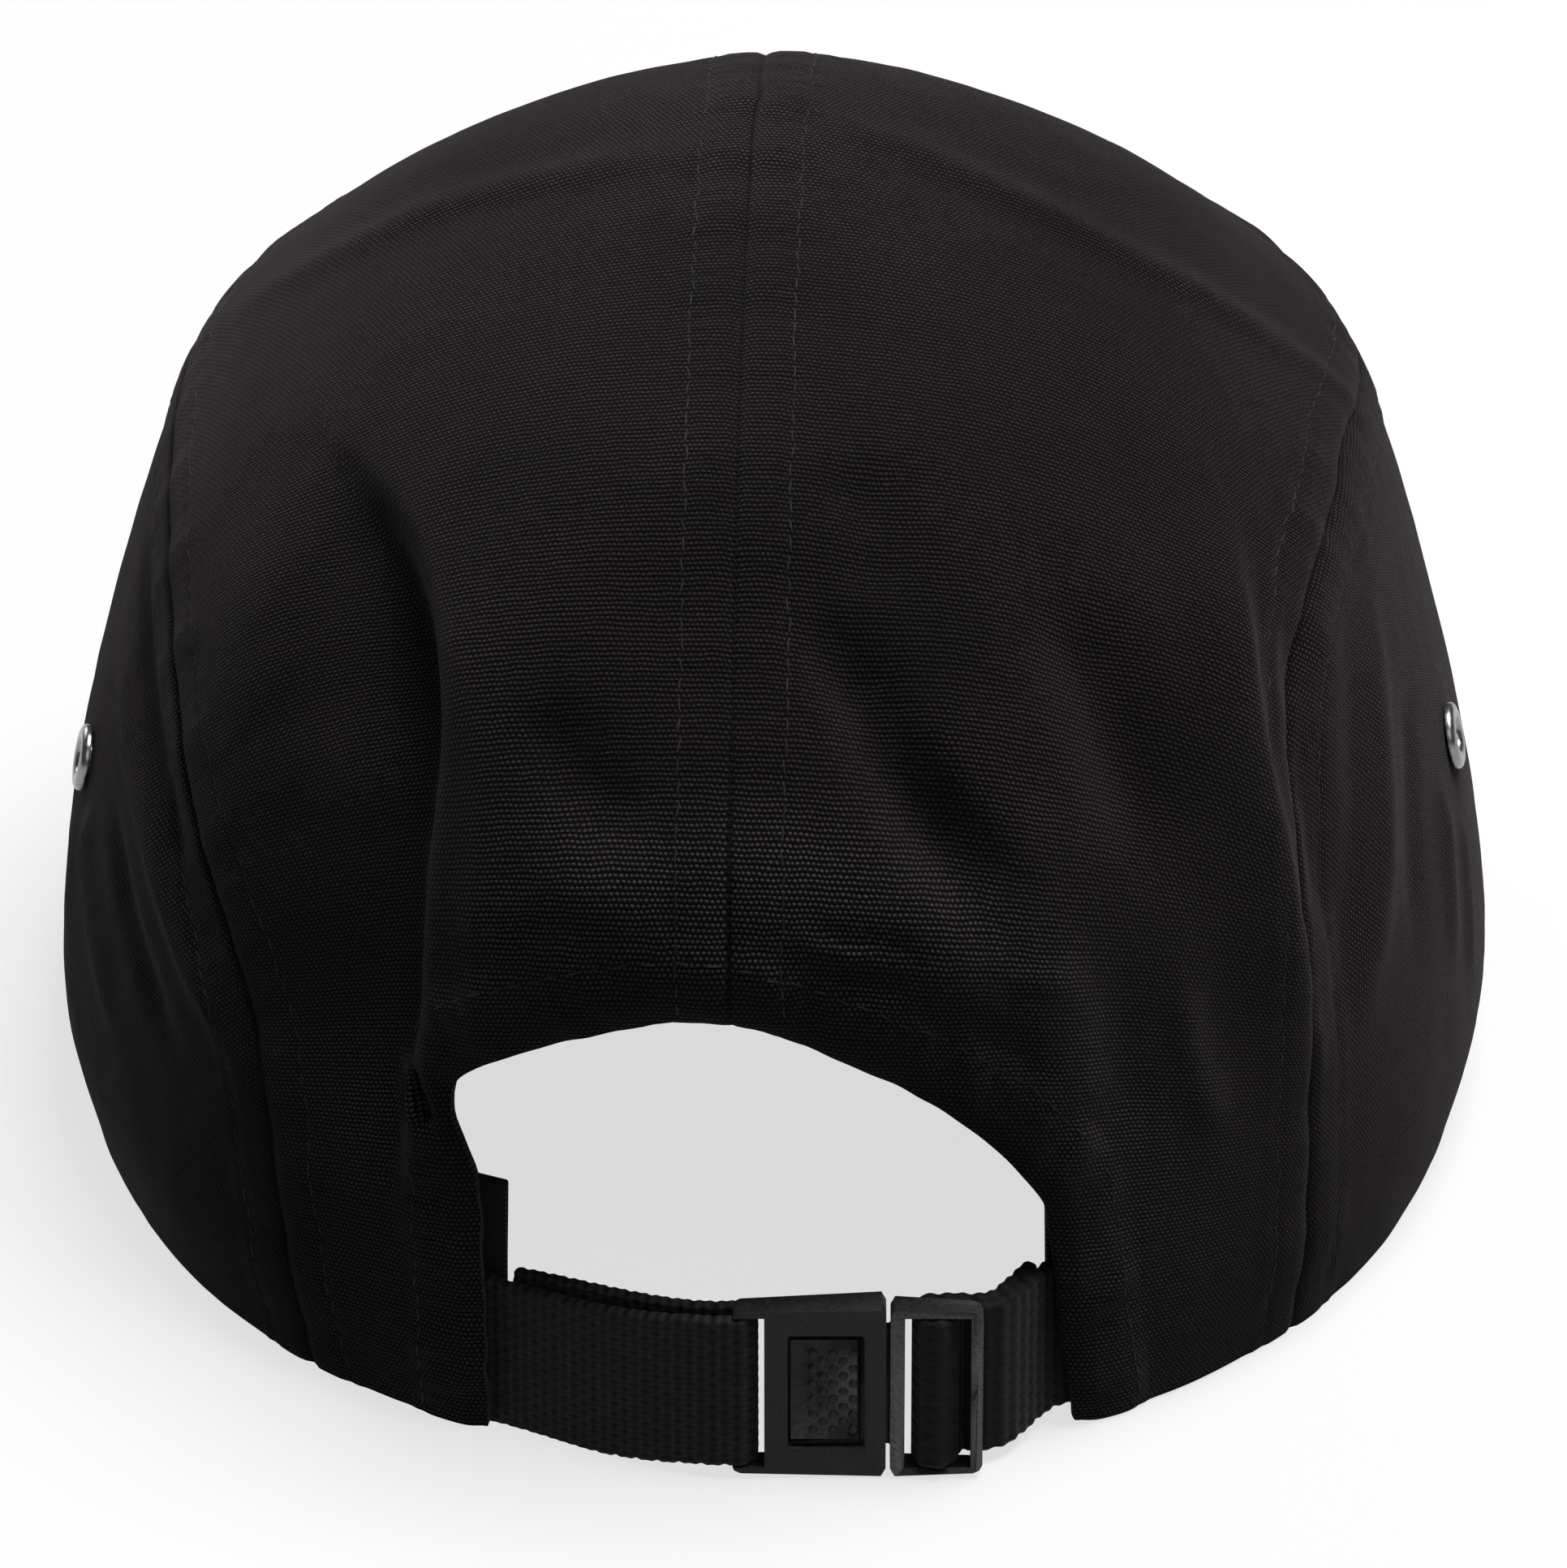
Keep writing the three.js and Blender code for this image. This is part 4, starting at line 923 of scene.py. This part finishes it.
plug = joinAll("buckle_plug_shell", [plug, *dots])
print("buckle made")

# Eyelets: pressed rings with a rolled rim and a barrel through the cloth
eyelet = {"outer": 0.0083, "hole": 0.0038, "crown": 0.0011, "barrel": 0.0014, "barrelWall": 0.0004,
          "under": 0.0001, "steps": 56, "rollSteps": 8, "seat": 0.00035}


def makeEyelet(name, place):
    flat = onDisc(*place)[None]
    normal = crownNormal(flat)[0]
    centre = crownPoint(flat)[0] + normal * eyelet["seat"]
    outer, hole, crownRise = eyelet["outer"] / 2, eyelet["hole"] / 2, eyelet["crown"]
    profile = [(hole, -eyelet["barrel"]), (hole, 0.3 * crownRise)]
    middle, reach = (outer + hole) / 2, (outer - hole) / 2
    for step in range(eyelet["rollSteps"] + 1):
        angle = math.pi - step * math.pi / eyelet["rollSteps"]
        profile.append((middle + reach * math.cos(angle), crownRise * (0.35 + 0.65 * math.sin(angle))))
    barrelOut = hole + eyelet["barrelWall"]
    profile += [(outer, 0.05 * crownRise), (outer - eyelet["barrelWall"], -eyelet["under"]),
                (barrelOut, -eyelet["under"]), (barrelOut, -eyelet["barrel"])]
    bpy.ops.object.select_all(action="DESELECT")
    bpy.ops.mesh.primitive_circle_add(vertices=len(profile), radius=1)
    ring = bpy.context.active_object
    movePlaces(ring, np.array([(x, 0, z) for x, z in profile]))
    spin = {"steps": eyelet["steps"], "angle": 2 * math.pi, "center": (0, 0, 0), "axis": (0, 0, 1)}
    editAll(ring, (bpy.ops.mesh.spin, spin))
    editAll(ring, (bpy.ops.mesh.remove_doubles, {"threshold": 1e-6}),
            (bpy.ops.mesh.normals_make_consistent, {"inside": False}))
    turned = Vector(normal).to_track_quat("Z", "Y").to_matrix()
    movePlaces(ring, meshPlaces(ring) @ np.array(turned).T + centre)
    ring.name = ring.data.name = name
    smooth(ring, 45)
    return ring


rings = {side: makeEyelet("eyelet_ring_" + side, place) for side, place in eyelets.items()}
print("eyelets made")

# Topstitches lie on the finished cloth
thread = {"long": 0.0021, "thick": 0.00030, "pitch": 0.0025, "firstAt": 0.001875, "tilt": 13, "sunk": 0.00004,
          "castFrom": 0.012, "shift": 0.0002, "clear": 0.0007}
hands = np.random.default_rng(11)


def surfaceOf(*things):
    vertices, faces = [], []
    for thing in things:
        start = len(vertices)
        vertices += meshPlaces(thing).tolist()
        faces += [[start + index for index in face.vertices] for face in thing.data.polygons]
    return BVHTree.FromPolygons(vertices, faces)


def layStitches(surface, points, normals, offset, pitch, keepOff=None):
    # Places along a line on the cloth, moved sideways by the offset and dropped on the surface.
    along = np.gradient(points, axis=0)
    run = runAlong(points)
    stitches = []
    for at in np.arange(thread["firstAt"], run[-1] - pitch / 4, pitch):
        place, ahead, out = (np.array([np.interp(at, run, values[:, k]) for k in range(3)])
                             for values in (points, along, normals))
        ahead, out = unit(ahead), unit(out)
        aside = place + unit(np.cross(out, ahead)) * (offset + hands.uniform(-1, 1) * thread["shift"])
        above = Vector(aside + out * thread["castFrom"])
        hit, facing, _, _ = surface.ray_cast(above, Vector(-out), 2 * thread["castFrom"])
        if hit is None:
            continue
        hit, facing = np.array(hit), np.array(facing)
        nearest = abs(offset) - thread["clear"]
        if keepOff is not None and np.linalg.norm(keepOff - hit, axis=1).min() < nearest:
            continue
        ahead = unit(ahead - facing * (ahead @ facing))
        turn = hands.uniform(-1, 1) * thread["tilt"] * degree
        ahead = ahead * math.cos(turn) + np.cross(facing, ahead) * math.sin(turn)
        stitches.append((hit - facing * thread["sunk"], ahead, facing))
    return stitches


def makeStitches(name, laid):
    bpy.ops.object.select_all(action="DESELECT")
    bpy.ops.mesh.primitive_uv_sphere_add(segments=6, ring_count=6, radius=0.5)
    stitches = bpy.context.active_object
    stitches.name = stitches.data.name = name
    shape = meshPlaces(stitches) * [thread["thick"], thread["thick"], thread["long"]]
    addModifier(stitches, "ARRAY", count=len(laid), use_relative_offset=False, use_constant_offset=True)
    places = [hit + shape @ np.stack([np.cross(ahead, facing), facing, ahead]) for hit, ahead, facing in laid]
    movePlaces(stitches, np.concatenate(places))
    smooth(stitches, 80)
    print(name, len(laid), "stitches")
    return stitches


def lineWithNormals(edge, steps=240):
    flat = edge(np.linspace(0, 1, steps))
    return crownPoint(flat), crownNormal(flat)


crownSurface, boardSurface = surfaceOf(*panels.values()), surfaceOf(board)
seamStitches = []
for seamName in ("sideLeft", "sideRight", "centre", "frontTop", "frontLeft", "frontRight"):
    points, normals = lineWithNormals(seamEdge(seamName))
    if seamName == "centre":
        first = np.argmin(np.linalg.norm(points - crownPoint(archTopPlace[None]), axis=1))
        points, normals = points[first:], normals[first:]
    for side in (-1, 1):
        aside = side * sewing["allowance"]
        seamStitches += layStitches(crownSurface, points, normals, aside, thread["pitch"])
seamThread = makeStitches("seam_stitches", seamStitches)
points, normals = lineWithNormals(openingEdge(footLeft, footRight))
hemStitches = layStitches(crownSurface, points, normals, sewing["hem"], thread["pitch"], points)
hemThread = makeStitches("hem_stitches", hemStitches)
edgeUp = np.tile([0.0, 0.0, 1.0], (len(peakEdgeLine), 1))
inward = 1 if peakEdgeLine[0, 0] < peakEdgeLine[-1, 0] else -1
peakStitches = []
for row in peakRows:
    laid = layStitches(boardSurface, peakEdgeLine, edgeUp, inward * row, thread["pitch"] / 4, peakEdgeLine)
    path = np.array([hit for hit, _, _ in laid])
    pathUp = np.tile([0.0, 0.0, 1.0], (len(path), 1))
    peakStitches += layStitches(boardSurface, path, pathUp, 0, thread["pitch"])
peakThread = makeStitches("peak_stitches", peakStitches)

# Finishes. A value in a pattern is a constant or another node's output.


def feed(socket, value):
    if isinstance(value, bpy.types.NodeSocket):
        socket.id_data.links.new(value, socket)
    else:
        socket.default_value = value


def newMaterial(name):
    material = bpy.data.materials.new(name)
    material.use_nodes = True
    tree = material.node_tree
    return material, tree, tree.nodes["Principled BSDF"]


def addNode(tree, kind, inputs=None, **settings):
    made = tree.nodes.new(kind)
    for key, value in settings.items():
        setattr(made, key, value)
    for key, value in (inputs or {}).items():
        feed(made.inputs[key], value)
    return made


def setShader(surface, **values):
    for key, value in values.items():
        feed(surface.inputs[key.replace("_", " ")], value)


def calc(operation, *values):
    tree = next(value.id_data for value in values if isinstance(value, bpy.types.NodeSocket))
    return addNode(tree, "ShaderNodeMath", dict(enumerate(values)), operation=operation).outputs[0]


def plus(*values):
    return calc("ADD", *values)


def times(*values):
    return calc("MULTIPLY", *values)


def timesPlus(value, factor, more):
    return calc("MULTIPLY_ADD", value, factor, more)


def atMostOne(value):
    return calc("MINIMUM", value, 1.0)


def combine(x, y, z=0.0):
    return addNode(x.id_data, "ShaderNodeCombineXYZ", {0: x, 1: y, 2: z}).outputs[0]


def noise(vector, scale, detail=2.0, output="Fac"):
    inputs = {"Vector": vector, "Scale": scale, "Detail": detail}
    return addNode(vector.id_data, "ShaderNodeTexNoise", inputs).outputs[output]


def randomValue(vector):
    return addNode(vector.id_data, "ShaderNodeTexWhiteNoise", {"Vector": vector}).outputs["Value"]


def mixColour(share, dark, light):
    made = addNode(share.id_data, "ShaderNodeMix", {0: share}, data_type="RGBA")
    for socket, value in ((made.inputs[6], dark), (made.inputs[7], light)):
        feed(socket, (*value, 1) if isinstance(value, tuple) else value)
    return made.outputs[2]


def readUv(tree, name):
    layer = addNode(tree, "ShaderNodeUVMap", uv_map=name)
    split = addNode(tree, "ShaderNodeSeparateXYZ", {0: layer.outputs[0]})
    return split.outputs[0], split.outputs[1]


def readPlace(tree):
    return addNode(tree, "ShaderNodeTexCoord").outputs["Object"]


def bump(height, distance, strength=1.0, normal=None):
    inputs = {"Height": height, "Distance": distance, "Strength": strength}
    if normal is not None:
        inputs["Normal"] = normal
    return addNode(height.id_data, "ShaderNodeBump", inputs).outputs[0]


def hump(value, centre, width):  # 1 at the centre, falling to 0 at the width
    away = calc("ABSOLUTE", calc("SUBTRACT", value, centre))
    return calc("MAXIMUM", calc("SUBTRACT", 1.0, calc("DIVIDE", away, width)), 0.0)


# Lengths in the weave's own millimetres; scales are per millimetre.
# gap is the colour of painted shade between the yarn floats, in the needle holes and in the seam line
# worn is the lighter colour of lint, of wear on fold ridges and of the painted light over the hem band and on
# the crest
canvasLook = {
    "gap": (0.0003, 0.0002, 0.0002), "yarn": (0.0132, 0.0092, 0.0102), "worn": (0.034, 0.029, 0.031),
    "pitch": (0.60, 0.63), "dome": (0.41, 0.38), "wobble": 0.6, "wobbleScale": 0.35, "relief": 0.00022,
    "slub": (0.10, 1.25), "fuzzScale": 4.2, "fuzz": 0.6, "fuzzRelief": 0.00010, "vary": (0.9, -0.15),
    "light": 0.95, "patchScale": 0.035, "patches": (2.6, -0.3), "lintScale": 0.9, "lintFrom": 0.765,
    "hemPaintedLight": 1.3, "hemPlace": (9.0, 22.0), "topPaintedLight": 0.4, "topPlace": (1.0, 0.22), "fadedFolds": 0.25,
    "stitch": 2.5, "stitchWide": 0.7, "holeRelief": 0.00025, "uneven": 0.16, "unevenShift": 3.0,
    "rippleAside": 1.5, "rippleWide": 3.6, "ripples": (0.00006, 0.00016), "seamLine": 0.56,
    "roughness": 0.88, "specular": 0.04, "sheen": 0.05, "sheenRoughness": 0.5,
    "sheenTint": (0.92, 0.80, 0.84, 1),
}


def weave(u, v, look):
    # Rows of raised yarn floats, each row set off by half a float from the next
    row = calc("DIVIDE", v, look["pitch"][1])
    rowIndex = calc("FLOOR", row)
    along = timesPlus(rowIndex, 0.5, calc("DIVIDE", u, look["pitch"][0]))
    squares = []
    for value, reach in zip((along, row), look["dome"]):
        away = calc("SUBTRACT", calc("FRACT", value), 0.5)
        squares.append(calc("POWER", calc("DIVIDE", calc("ABSOLUTE", away), reach), 2.0))
    height = calc("MAXIMUM", calc("SUBTRACT", 1.0, plus(*squares)), 0.0)
    return height, randomValue(combine(calc("FLOOR", along), rowIndex))


def canvasMaterial(name, look):
    material, tree, surface = newMaterial(name)
    u, v = readUv(tree, "grain")
    place = combine(u, v)
    shift = addNode(tree, "ShaderNodeSeparateXYZ", {0: noise(place, look["wobbleScale"], 3.0, "Color")})
    uBent, vBent = (timesPlus(shift.outputs[k], look["wobble"], way) for k, way in enumerate((u, v)))
    height, vary = weave(uBent, vBent, look)
    slub = noise(combine(times(u, look["slub"][0]), times(v, look["slub"][1])), 1.0, 2.0)
    fuzz = noise(place, look["fuzzScale"], 2.0)
    lively = plus(timesPlus(vary, *look["vary"]), plus(slub, times(fuzz, look["fuzz"])))
    bright = times(height, times(lively, look["light"]))
    bright = times(bright, timesPlus(noise(place, look["patchScale"], 3.0), *look["patches"]))
    # painted shade: the colour darkens to the gap colour between the raised yarn floats, following their
    # height
    colour = mixColour(atMostOne(bright), look["gap"], look["yarn"])
    # lighter colour: wear on the fold ridges, and painted light over the opening's hem band and on the crest
    worn, rise = readUv(tree, "wearAndRise")
    hemRun, hem = readUv(tree, "hem")
    wearAndPaintedLight = timesPlus(hump(hem, *look["hemPlace"]), look["hemPaintedLight"], times(worn, look["fadedFolds"]))
    wearAndPaintedLight = timesPlus(hump(rise, *look["topPlace"]), look["topPaintedLight"], wearAndPaintedLight)
    lint = calc("GREATER_THAN", noise(combine(u, v, 7.0), look["lintScale"], 5.0), look["lintFrom"])
    colour = mixColour(atMostOne(plus(lint, times(wearAndPaintedLight, bright))), colour, look["worn"])
    normal = bump(fuzz, look["fuzzRelief"], 0.6, bump(height, look["relief"]))
    # needle holes and ripples along the rows of stitches, and the seam's own line; the holes and the seam
    # line get painted shade in the gap colour
    run, aside = readUv(tree, "seam")
    uneven = noise(combine(u, v, 3.0), look["uneven"], 2.0)
    pulls, ripples = [], []
    for along, across, row in ((run, aside, sewing["allowance"] / mm), (hemRun, hem, sewing["hem"] / mm)):
        phase = timesPlus(along, 2 * math.pi / look["stitch"], times(uneven, look["unevenShift"]))
        wave = calc("SINE", phase)
        pulls.append(times(timesPlus(wave, 0.5, 0.5), hump(across, row, look["stitchWide"])))
        puckered = hump(across, row - look["rippleAside"], look["rippleWide"])
        ripples.append(times(times(wave, uneven), puckered))
    holes = calc("POWER", plus(*pulls), 3.0)
    seamGrooveShade = calc("LESS_THAN", aside, look["seamLine"])
    colour = mixColour(atMostOne(plus(holes, seamGrooveShade)), colour, look["gap"])
    normal = bump(holes, look["holeRelief"], -0.6, normal)
    for ripple, relief in zip(ripples, look["ripples"]):
        normal = bump(ripple, relief, 1.0, normal)
    setShader(surface, Base_Color=colour, Normal=normal, Roughness=look["roughness"],
              Sheen_Weight=look["sheen"], Sheen_Roughness=look["sheenRoughness"],
              Sheen_Tint=look["sheenTint"], Specular_IOR_Level=look["specular"])
    return material


# gap is the colour of painted shade in the webbing's rib valleys and holes
fineLook = {"gap": (0.0003, 0.0003, 0.0003), "yarn": (0.0215, 0.0215, 0.0215), "ribbed": 0.3}
ribbedLook = {"gap": (0.0002, 0.0002, 0.0002), "yarn": (0.0105, 0.0103, 0.0105), "ribbed": 0.65}


def webbingMaterial(name, kind, look):
    material, tree, surface = newMaterial(name)
    u, v = readUv(tree, "grain")
    column = calc("DIVIDE", u, kind["pitch"][0])
    index = calc("ROUND", column)
    row = timesPlus(index, 0.5, calc("DIVIDE", v, kind["pitch"][1]))
    betweenRibs, betweenRows = (calc("ABSOLUTE", calc("COSINE", times(value, math.pi)))
                                for value in (column, row))
    hole = calc("POWER", times(betweenRibs, betweenRows), 1.1)
    valley = times(calc("POWER", betweenRibs, 2.0), look["ribbed"])
    height = calc("SUBTRACT", calc("SUBTRACT", 1.0, valley), times(hole, 1 - look["ribbed"]))
    knots = calc("ABSOLUTE", calc("SINE", times(row, 2 * math.pi)))
    fuzz = noise(combine(u, v), 3.2, 3.0)
    each = randomValue(combine(index, calc("FLOOR", row)))
    lively = times(plus(timesPlus(each, 0.45, 0.1), times(fuzz, 0.9)), timesPlus(knots, 0.8, 0.4))
    # painted shade in the rib valleys and holes and painted light on the raised knots: the colour follows the
    # weave's relief
    colour = mixColour(atMostOne(times(height, lively)), look["gap"], look["yarn"])
    normal = bump(timesPlus(knots, 0.5, fuzz), 0.00010, 0.8)
    setShader(surface, Base_Color=colour, Normal=normal, Roughness=0.75, Specular_IOR_Level=0.12,
              Sheen_Weight=0.03, Sheen_Roughness=0.5)
    return material


liningLook = {"dark": (0.0015, 0.0013, 0.0014), "light": (0.010, 0.009, 0.0093), "twill": 0.7,
              "relief": 0.00012}


def liningMaterial(name, look):
    material, tree, surface = newMaterial(name)
    u, v = readUv(tree, "grain")
    twill = calc("SINE", times(plus(u, v), 2 * math.pi / look["twill"]))
    yarn = timesPlus(twill, 0.5, 0.5)
    fuzz = noise(combine(u, v), 2.5, 3.0)
    colour = mixColour(atMostOne(times(yarn, plus(0.3, fuzz))), look["dark"], look["light"])
    setShader(surface, Base_Color=colour, Normal=bump(plus(yarn, fuzz), look["relief"]), Roughness=0.8,
              Specular_IOR_Level=0.1, Sheen_Weight=0.05)
    return material


plasticLook = {"dark": (0.0020, 0.0020, 0.0020), "light": (0.0140, 0.0140, 0.0142), "grain": 2000,
               "relief": 0.00009, "cloud": 160, "roughness": 0.6}


def plasticMaterial(name, look):
    # Spark-eroded moulding: a fine grain, a little lighter where handling has polished it
    material, tree, surface = newMaterial(name)
    place = readPlace(tree)
    grain, cloud = noise(place, look["grain"], 3.0), noise(place, look["cloud"], 3.0)
    share = timesPlus(grain, 2.6, timesPlus(cloud, 0.7, -1.15))
    setShader(surface, Base_Color=mixColour(share, look["dark"], look["light"]),
              Normal=bump(grain, look["relief"], 0.9), Roughness=timesPlus(cloud, 0.15, look["roughness"]),
              Specular_IOR_Level=0.28)
    return material


metalLook = {"dark": (0.16, 0.16, 0.17), "light": (0.34, 0.34, 0.36), "scratches": 1800, "relief": 0.00002}


def metalMaterial(name, look):
    material, tree, surface = newMaterial(name)
    scratch = noise(readPlace(tree), look["scratches"], 3.0)
    setShader(surface, Base_Color=mixColour(scratch, look["dark"], look["light"]), Metallic=1.0,
              Roughness=timesPlus(scratch, 0.18, 0.2), Normal=bump(scratch, look["relief"], 0.5))
    return material


threadLook = {"dark": (0.0012, 0.0009, 0.0010), "light": (0.0125, 0.0098, 0.0105), "plies": 3000, "worn": 170}


def threadMaterial(name, look):
    material, tree, surface = newMaterial(name)
    place = readPlace(tree)
    plies = times(noise(place, look["plies"], 2.0), timesPlus(noise(place, look["worn"], 2.0), 3.4, -1.0))
    share = atMostOne(calc("MAXIMUM", plies, 0.0))
    setShader(surface, Base_Color=mixColour(share, look["dark"], look["light"]), Roughness=0.6,
              Specular_IOR_Level=0.12, Sheen_Weight=0.03)
    return material


canvas = canvasMaterial("black_canvas", canvasLook)
plastic = plasticMaterial("grained_plastic", plasticLook)
metal = metalMaterial("gunmetal", metalLook)
sewingThread = threadMaterial("sewing_thread", threadLook)
dressed = [
    (panels["back_left"], "canvas", canvas, "back_panel_left"),
    (panels["back_right"], "canvas", canvas, "back_panel_right"),
    (panels["side_left"], "canvas", canvas, "side_panel_left"),
    (panels["side_right"], "canvas", canvas, "side_panel_right"),
    (panels["front"], "canvas", canvas, "front_panel"),
    (board, "canvas", canvas, "peak"),
    (sweatband, "lining", liningMaterial("sweatband_twill", liningLook), "sweatband"),
    (webbingLeft, "webbing", webbingMaterial("fine_webbing", fineWeave, fineLook), "webbing_left"),
    (webbingRight, "webbing", webbingMaterial("ribbed_webbing", ribbedWeave, ribbedLook), "webbing_right"),
    (socket, "buckle", plastic, "buckle_socket"),
    (plug, "buckle", plastic, "buckle_plug"),
    (rings["left"], "eyelet", metal, "eyelet_left"),
    (rings["right"], "eyelet", metal, "eyelet_right"),
    (seamThread, "canvas", sewingThread, None),
    (hemThread, "canvas", sewingThread, None),
    (peakThread, "canvas", sewingThread, None),
]
for piece, slotName, material, nodeName in dressed:
    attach(piece, "root")
    piece.data.materials.clear()
    piece.data.materials.append(material)
    if nodeName:
        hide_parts(nodeName)
print("finishes on")

# Stage: the camera stands where the photo was taken from, over a pale floor under soft studio light
eye = {"elevation": 30, "distance": 1.4, "target": (-0.0012, 0.0318, 0.03576), "lens": 258.94, "sensor": 36}
studio = {"floor": 14, "floorBase": (0.13, 0.13, 0.13, 1), "floorGlow": 0.70, "sky": 0.10,
          "aim": (0, 0, 0.05)}
lamps = {  # place, width and power
    "top_light": ((-0.45, -0.05, 1.62), 1.0, 60),
    "fill_light": ((-0.3, 1.6, 1.3), 1.2, 7),
    "front_light": ((1.1, -1.5, 1.0), 1.2, 16),
}
scene = bpy.context.scene
bpy.ops.object.camera_add()
camera = bpy.context.active_object
away = Vector((0, math.cos(eye["elevation"] * degree), math.sin(eye["elevation"] * degree)))
camera.location = Vector(eye["target"]) + away * eye["distance"]
camera.rotation_euler = (-away).to_track_quat("-Z", "Y").to_euler()
camera.data.sensor_width = eye["sensor"]
camera.data.lens = eye["lens"]
scene.camera = camera

bpy.ops.mesh.primitive_plane_add(size=studio["floor"])
floor = bpy.context.active_object
floor.name = "floor"
paleFloor, _, surface = newMaterial("pale_floor")
setShader(surface, Base_Color=studio["floorBase"], Roughness=0.9, Specular_IOR_Level=0.1,
          Emission_Color=(1, 1, 1, 1), Emission_Strength=studio["floorGlow"])
floor.data.materials.append(paleFloor)
floor.visible_diffuse = False  # it doesn't light the cap from below

for lampName, (place, width, power) in lamps.items():
    bpy.ops.object.light_add(type="AREA", location=place)
    lamp = bpy.context.active_object
    lamp.name = lampName
    lamp.data.shape = "DISK"
    lamp.data.size = width
    lamp.data.energy = power
    lamp.rotation_euler = (Vector(studio["aim"]) - Vector(place)).to_track_quat("-Z", "Y").to_euler()
world = scene.world or bpy.data.worlds.new("studio")
scene.world = world
world.use_nodes = True
feed(world.node_tree.nodes["Background"].inputs[0], (1, 1, 1, 1))
feed(world.node_tree.nodes["Background"].inputs[1], studio["sky"])
scene.view_settings.view_transform = "Standard"
print("stage set")
